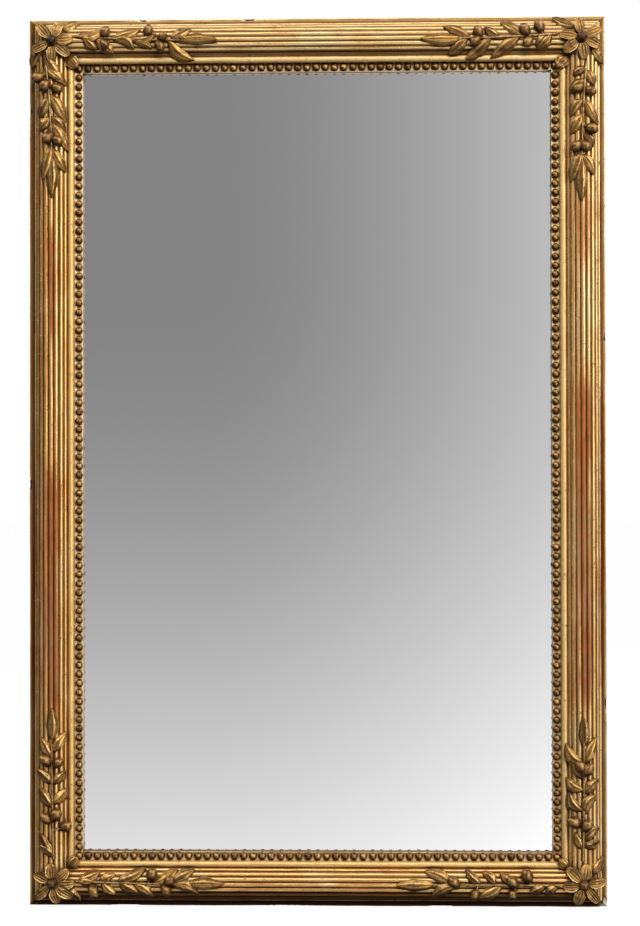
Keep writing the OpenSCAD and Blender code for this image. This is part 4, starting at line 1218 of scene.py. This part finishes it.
def hanger_screws(materials):
    rng = np.random.default_rng(HANGER_SCREW_SEED)
    build = Build()
    for way in (-1, 1):
        for drop in HANGER_SCREW_DROPS:
            place = [way * (FRAME_W / 2 - BACK_U / 2), RING_Z - drop, POCKET_D - PLATE_T]
            add_screw(build, place, rng.uniform(0, 180), HANGER_SCREW_L)
    build.piece("slotted_screws_hangers", materials, "steel_screws", ["hanger_screws"], sharp=35)


# ---------- camera, light and stage ----------


def camera():
    """The photograph's viewpoint: a little right of the middle, about three metres away."""
    place = (0.081, -3.2, -0.034)
    look_left, look_up, roll = 1.37, 0.555, 0.10
    photo_tall = 926
    focal_px = 1821.5
    data = bpy.data.cameras.new("camera")
    data.sensor_width = 36.0
    data.lens = data.sensor_width * focal_px / photo_tall
    eye = new_object("camera", data)
    eye.location = place
    eye.rotation_euler = [math.radians(a) for a in (90 + look_up, roll, look_left)]
    bpy.context.scene.camera = eye


def lamp(name, place, size, power, colour=(1, 1, 1)):
    """A soft lamp, aimed at the object's middle, that gloss doesn't show."""
    data = bpy.data.lights.new(name, "AREA")
    data.shape = "RECTANGLE"
    data.size, data.size_y = size
    data.energy = power
    data.color = colour
    light = new_object(name, data)
    light.location = place
    light.rotation_euler = (-Vector(place)).to_track_quat("-Z", "Y").to_euler()
    light.visible_glossy = False


def front_gloss(look, dx, dz):
    """What the plate mirrors to the front: darkest at the upper left, lighter to the right and below."""
    darkest, right_gain, down_gain = 0.242, 0.46, 0.49
    right = look.ramp((dx + 0.09) / 0.25, 1.25, 1.7)
    down = look.ramp((0.12 - dz) / 0.30, 1.2, 2.0)
    return darkest + right * right_gain + down * down_gain


def room_gloss(look, dx, dy, dz):
    """Pale bands of the room above, beside and below, which the gilding's curves catch."""
    level_with = look.step(look.math("ABSOLUTE", dz), 0.35, 0.75, 1.0, 0.0)
    above = look.step(dz, 0.25, 0.65) * look.step(dz, 0.78, 0.94, 2.3, 0.45)
    to_right = look.step(dx, 0.15, 0.4) * look.step(dx, 0.7, 0.95, 1.9, 0.1)
    to_left = look.step(dx, -0.45, -0.1, 1.0, 0.0) * look.step(dx, -0.98, -0.7, 0.0, 0.3)
    below = look.step(dz, -0.4, -0.1, 1.0, 0.0) * look.step(dz, -0.95, -0.6, 0.0, 0.4)
    beside = (to_right + to_left) * level_with * look.step(dz, -0.2, 0.2, 0.5, 1.75)
    everywhere = 0.07
    return (look.largest(above, beside) + below + everywhere) * look.step(dy, 0.0, 0.7, 1.0, 0.4)


def surroundings():
    """White behind the object, soft light all round, and a room that only gloss shows."""
    world = bpy.data.worlds.new("studio")
    bpy.context.scene.world = world
    look = Look(world)
    direction = look.add("ShaderNodeTexCoord", "Generated")
    dx, dy, dz = [look.add("ShaderNodeSeparateXYZ", axis, sockets={0: direction}) for axis in range(3)]
    front = front_gloss(look, dx, dz)
    room = room_gloss(look, dx, dy, dz)
    off_axis = look.math("SQRT", dx * dx + dz * dz)
    share = look.largest(look.step(off_axis, 0.3, 0.5), look.step(dy, -0.6, 0.0))
    gloss = front * (1.0 - share) + room * share
    diffuse = look.step(dz, -0.4, 0.9, 0.05, 0.42)
    camera_ray, glossy_ray, clear_ray = [
        look.add("ShaderNodeLightPath", f"Is {kind} Ray") for kind in ("Camera", "Glossy", "Transmission")]
    level = glossy_ray * (gloss - diffuse) + diffuse
    seen = look.largest(camera_ray, clear_ray)
    background = look.tree.nodes["Background"]
    look.put(background.inputs["Color"], (1, 1, 1, 1))
    look.put(background.inputs["Strength"], level * (1.0 - seen) + seen)


def stage():
    reach = 30.0
    gap = 0.0005
    corners = [(-reach, -reach), (reach, -reach), (reach, reach), (-reach, reach)]
    mesh = bpy.data.meshes.new("floor")
    mesh.from_pydata([(x, y, cad_low.z - gap) for x, y in corners], [], [(0, 1, 2, 3)])
    mesh.materials.append(floor_white())
    floor = new_object("floor", mesh)
    floor.visible_glossy = False
    floor.visible_diffuse = False
    lamp("key", place=(0.75, -2.25, 1.85), size=(1.3, 0.8), power=96, colour=(1, 0.985, 0.96))
    lamp("back_fill", place=(-1.5, 2.7, 1.2), size=(1.6, 1.2), power=60)
    bpy.context.scene.view_settings.view_transform = "Standard"


OLD_PINE = [srgb(122, 84, 48), srgb(184, 138, 88), srgb(96, 72, 50)]
PANEL_PINE = [srgb(134, 94, 56), srgb(192, 148, 98), srgb(108, 82, 58)]
SAWN_PINE = [srgb(138, 100, 60), srgb(196, 154, 104), srgb(100, 76, 52)]
BEECH = [srgb(104, 68, 38), srgb(150, 106, 66), srgb(78, 56, 38)]
# Wooden CAD nodes that stay: [name, whether the grain is upright, dark, light and dusty colour, nodes]
WOODS = [["pine_upright", True, OLD_PINE, ["back_stile_left", "back_stile_right"]],
         ["pine_across", False, OLD_PINE, ["back_rail_top", "back_rail_middle", "back_rail_bottom"]],
         ["pine_panel", True, PANEL_PINE, ["back_panel_upper", "back_panel_lower"]],
         ["beech", False, BEECH, [f"corner_key_{corner}" for corner in CORNERS]],
         ["block_pine", True, SAWN_PINE, ["glass_blocks", "setting_pads"]]]
IRON_NODES = ["hanger_plate_left", "hanger_plate_right", "hanger_ring_left", "hanger_ring_right"]


def dress(nodes, material):
    """Gives CAD nodes that stay their finish."""
    for node in nodes:
        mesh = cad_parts[node].data
        mesh.materials.clear()
        mesh.materials.append(material)


def main():
    camera()
    surroundings()
    stage()
    gilt, beads, ornament = [gilding()], [strip_gold(), bead_bronze()], [ornament_gold()]
    ball, steel = [ball_bronze()], [dull_steel()]
    for i in range(4):
        moulding(i, gilt)
        bead_strip(i, beads)
        rosette(i, ornament)
        rosette_ball(i, ball)
        mitre_leaf(i, ornament)
    for k in range(8):
        spray(k, ornament)
    back_screws(steel)
    hanger_screws(steel)
    for name, upright, colours, nodes in WOODS:
        dress(nodes, wood(name, upright, *colours))
    dress(IRON_NODES, old_iron())
    dress(["mirror_plate"], mirror_silver())


main()
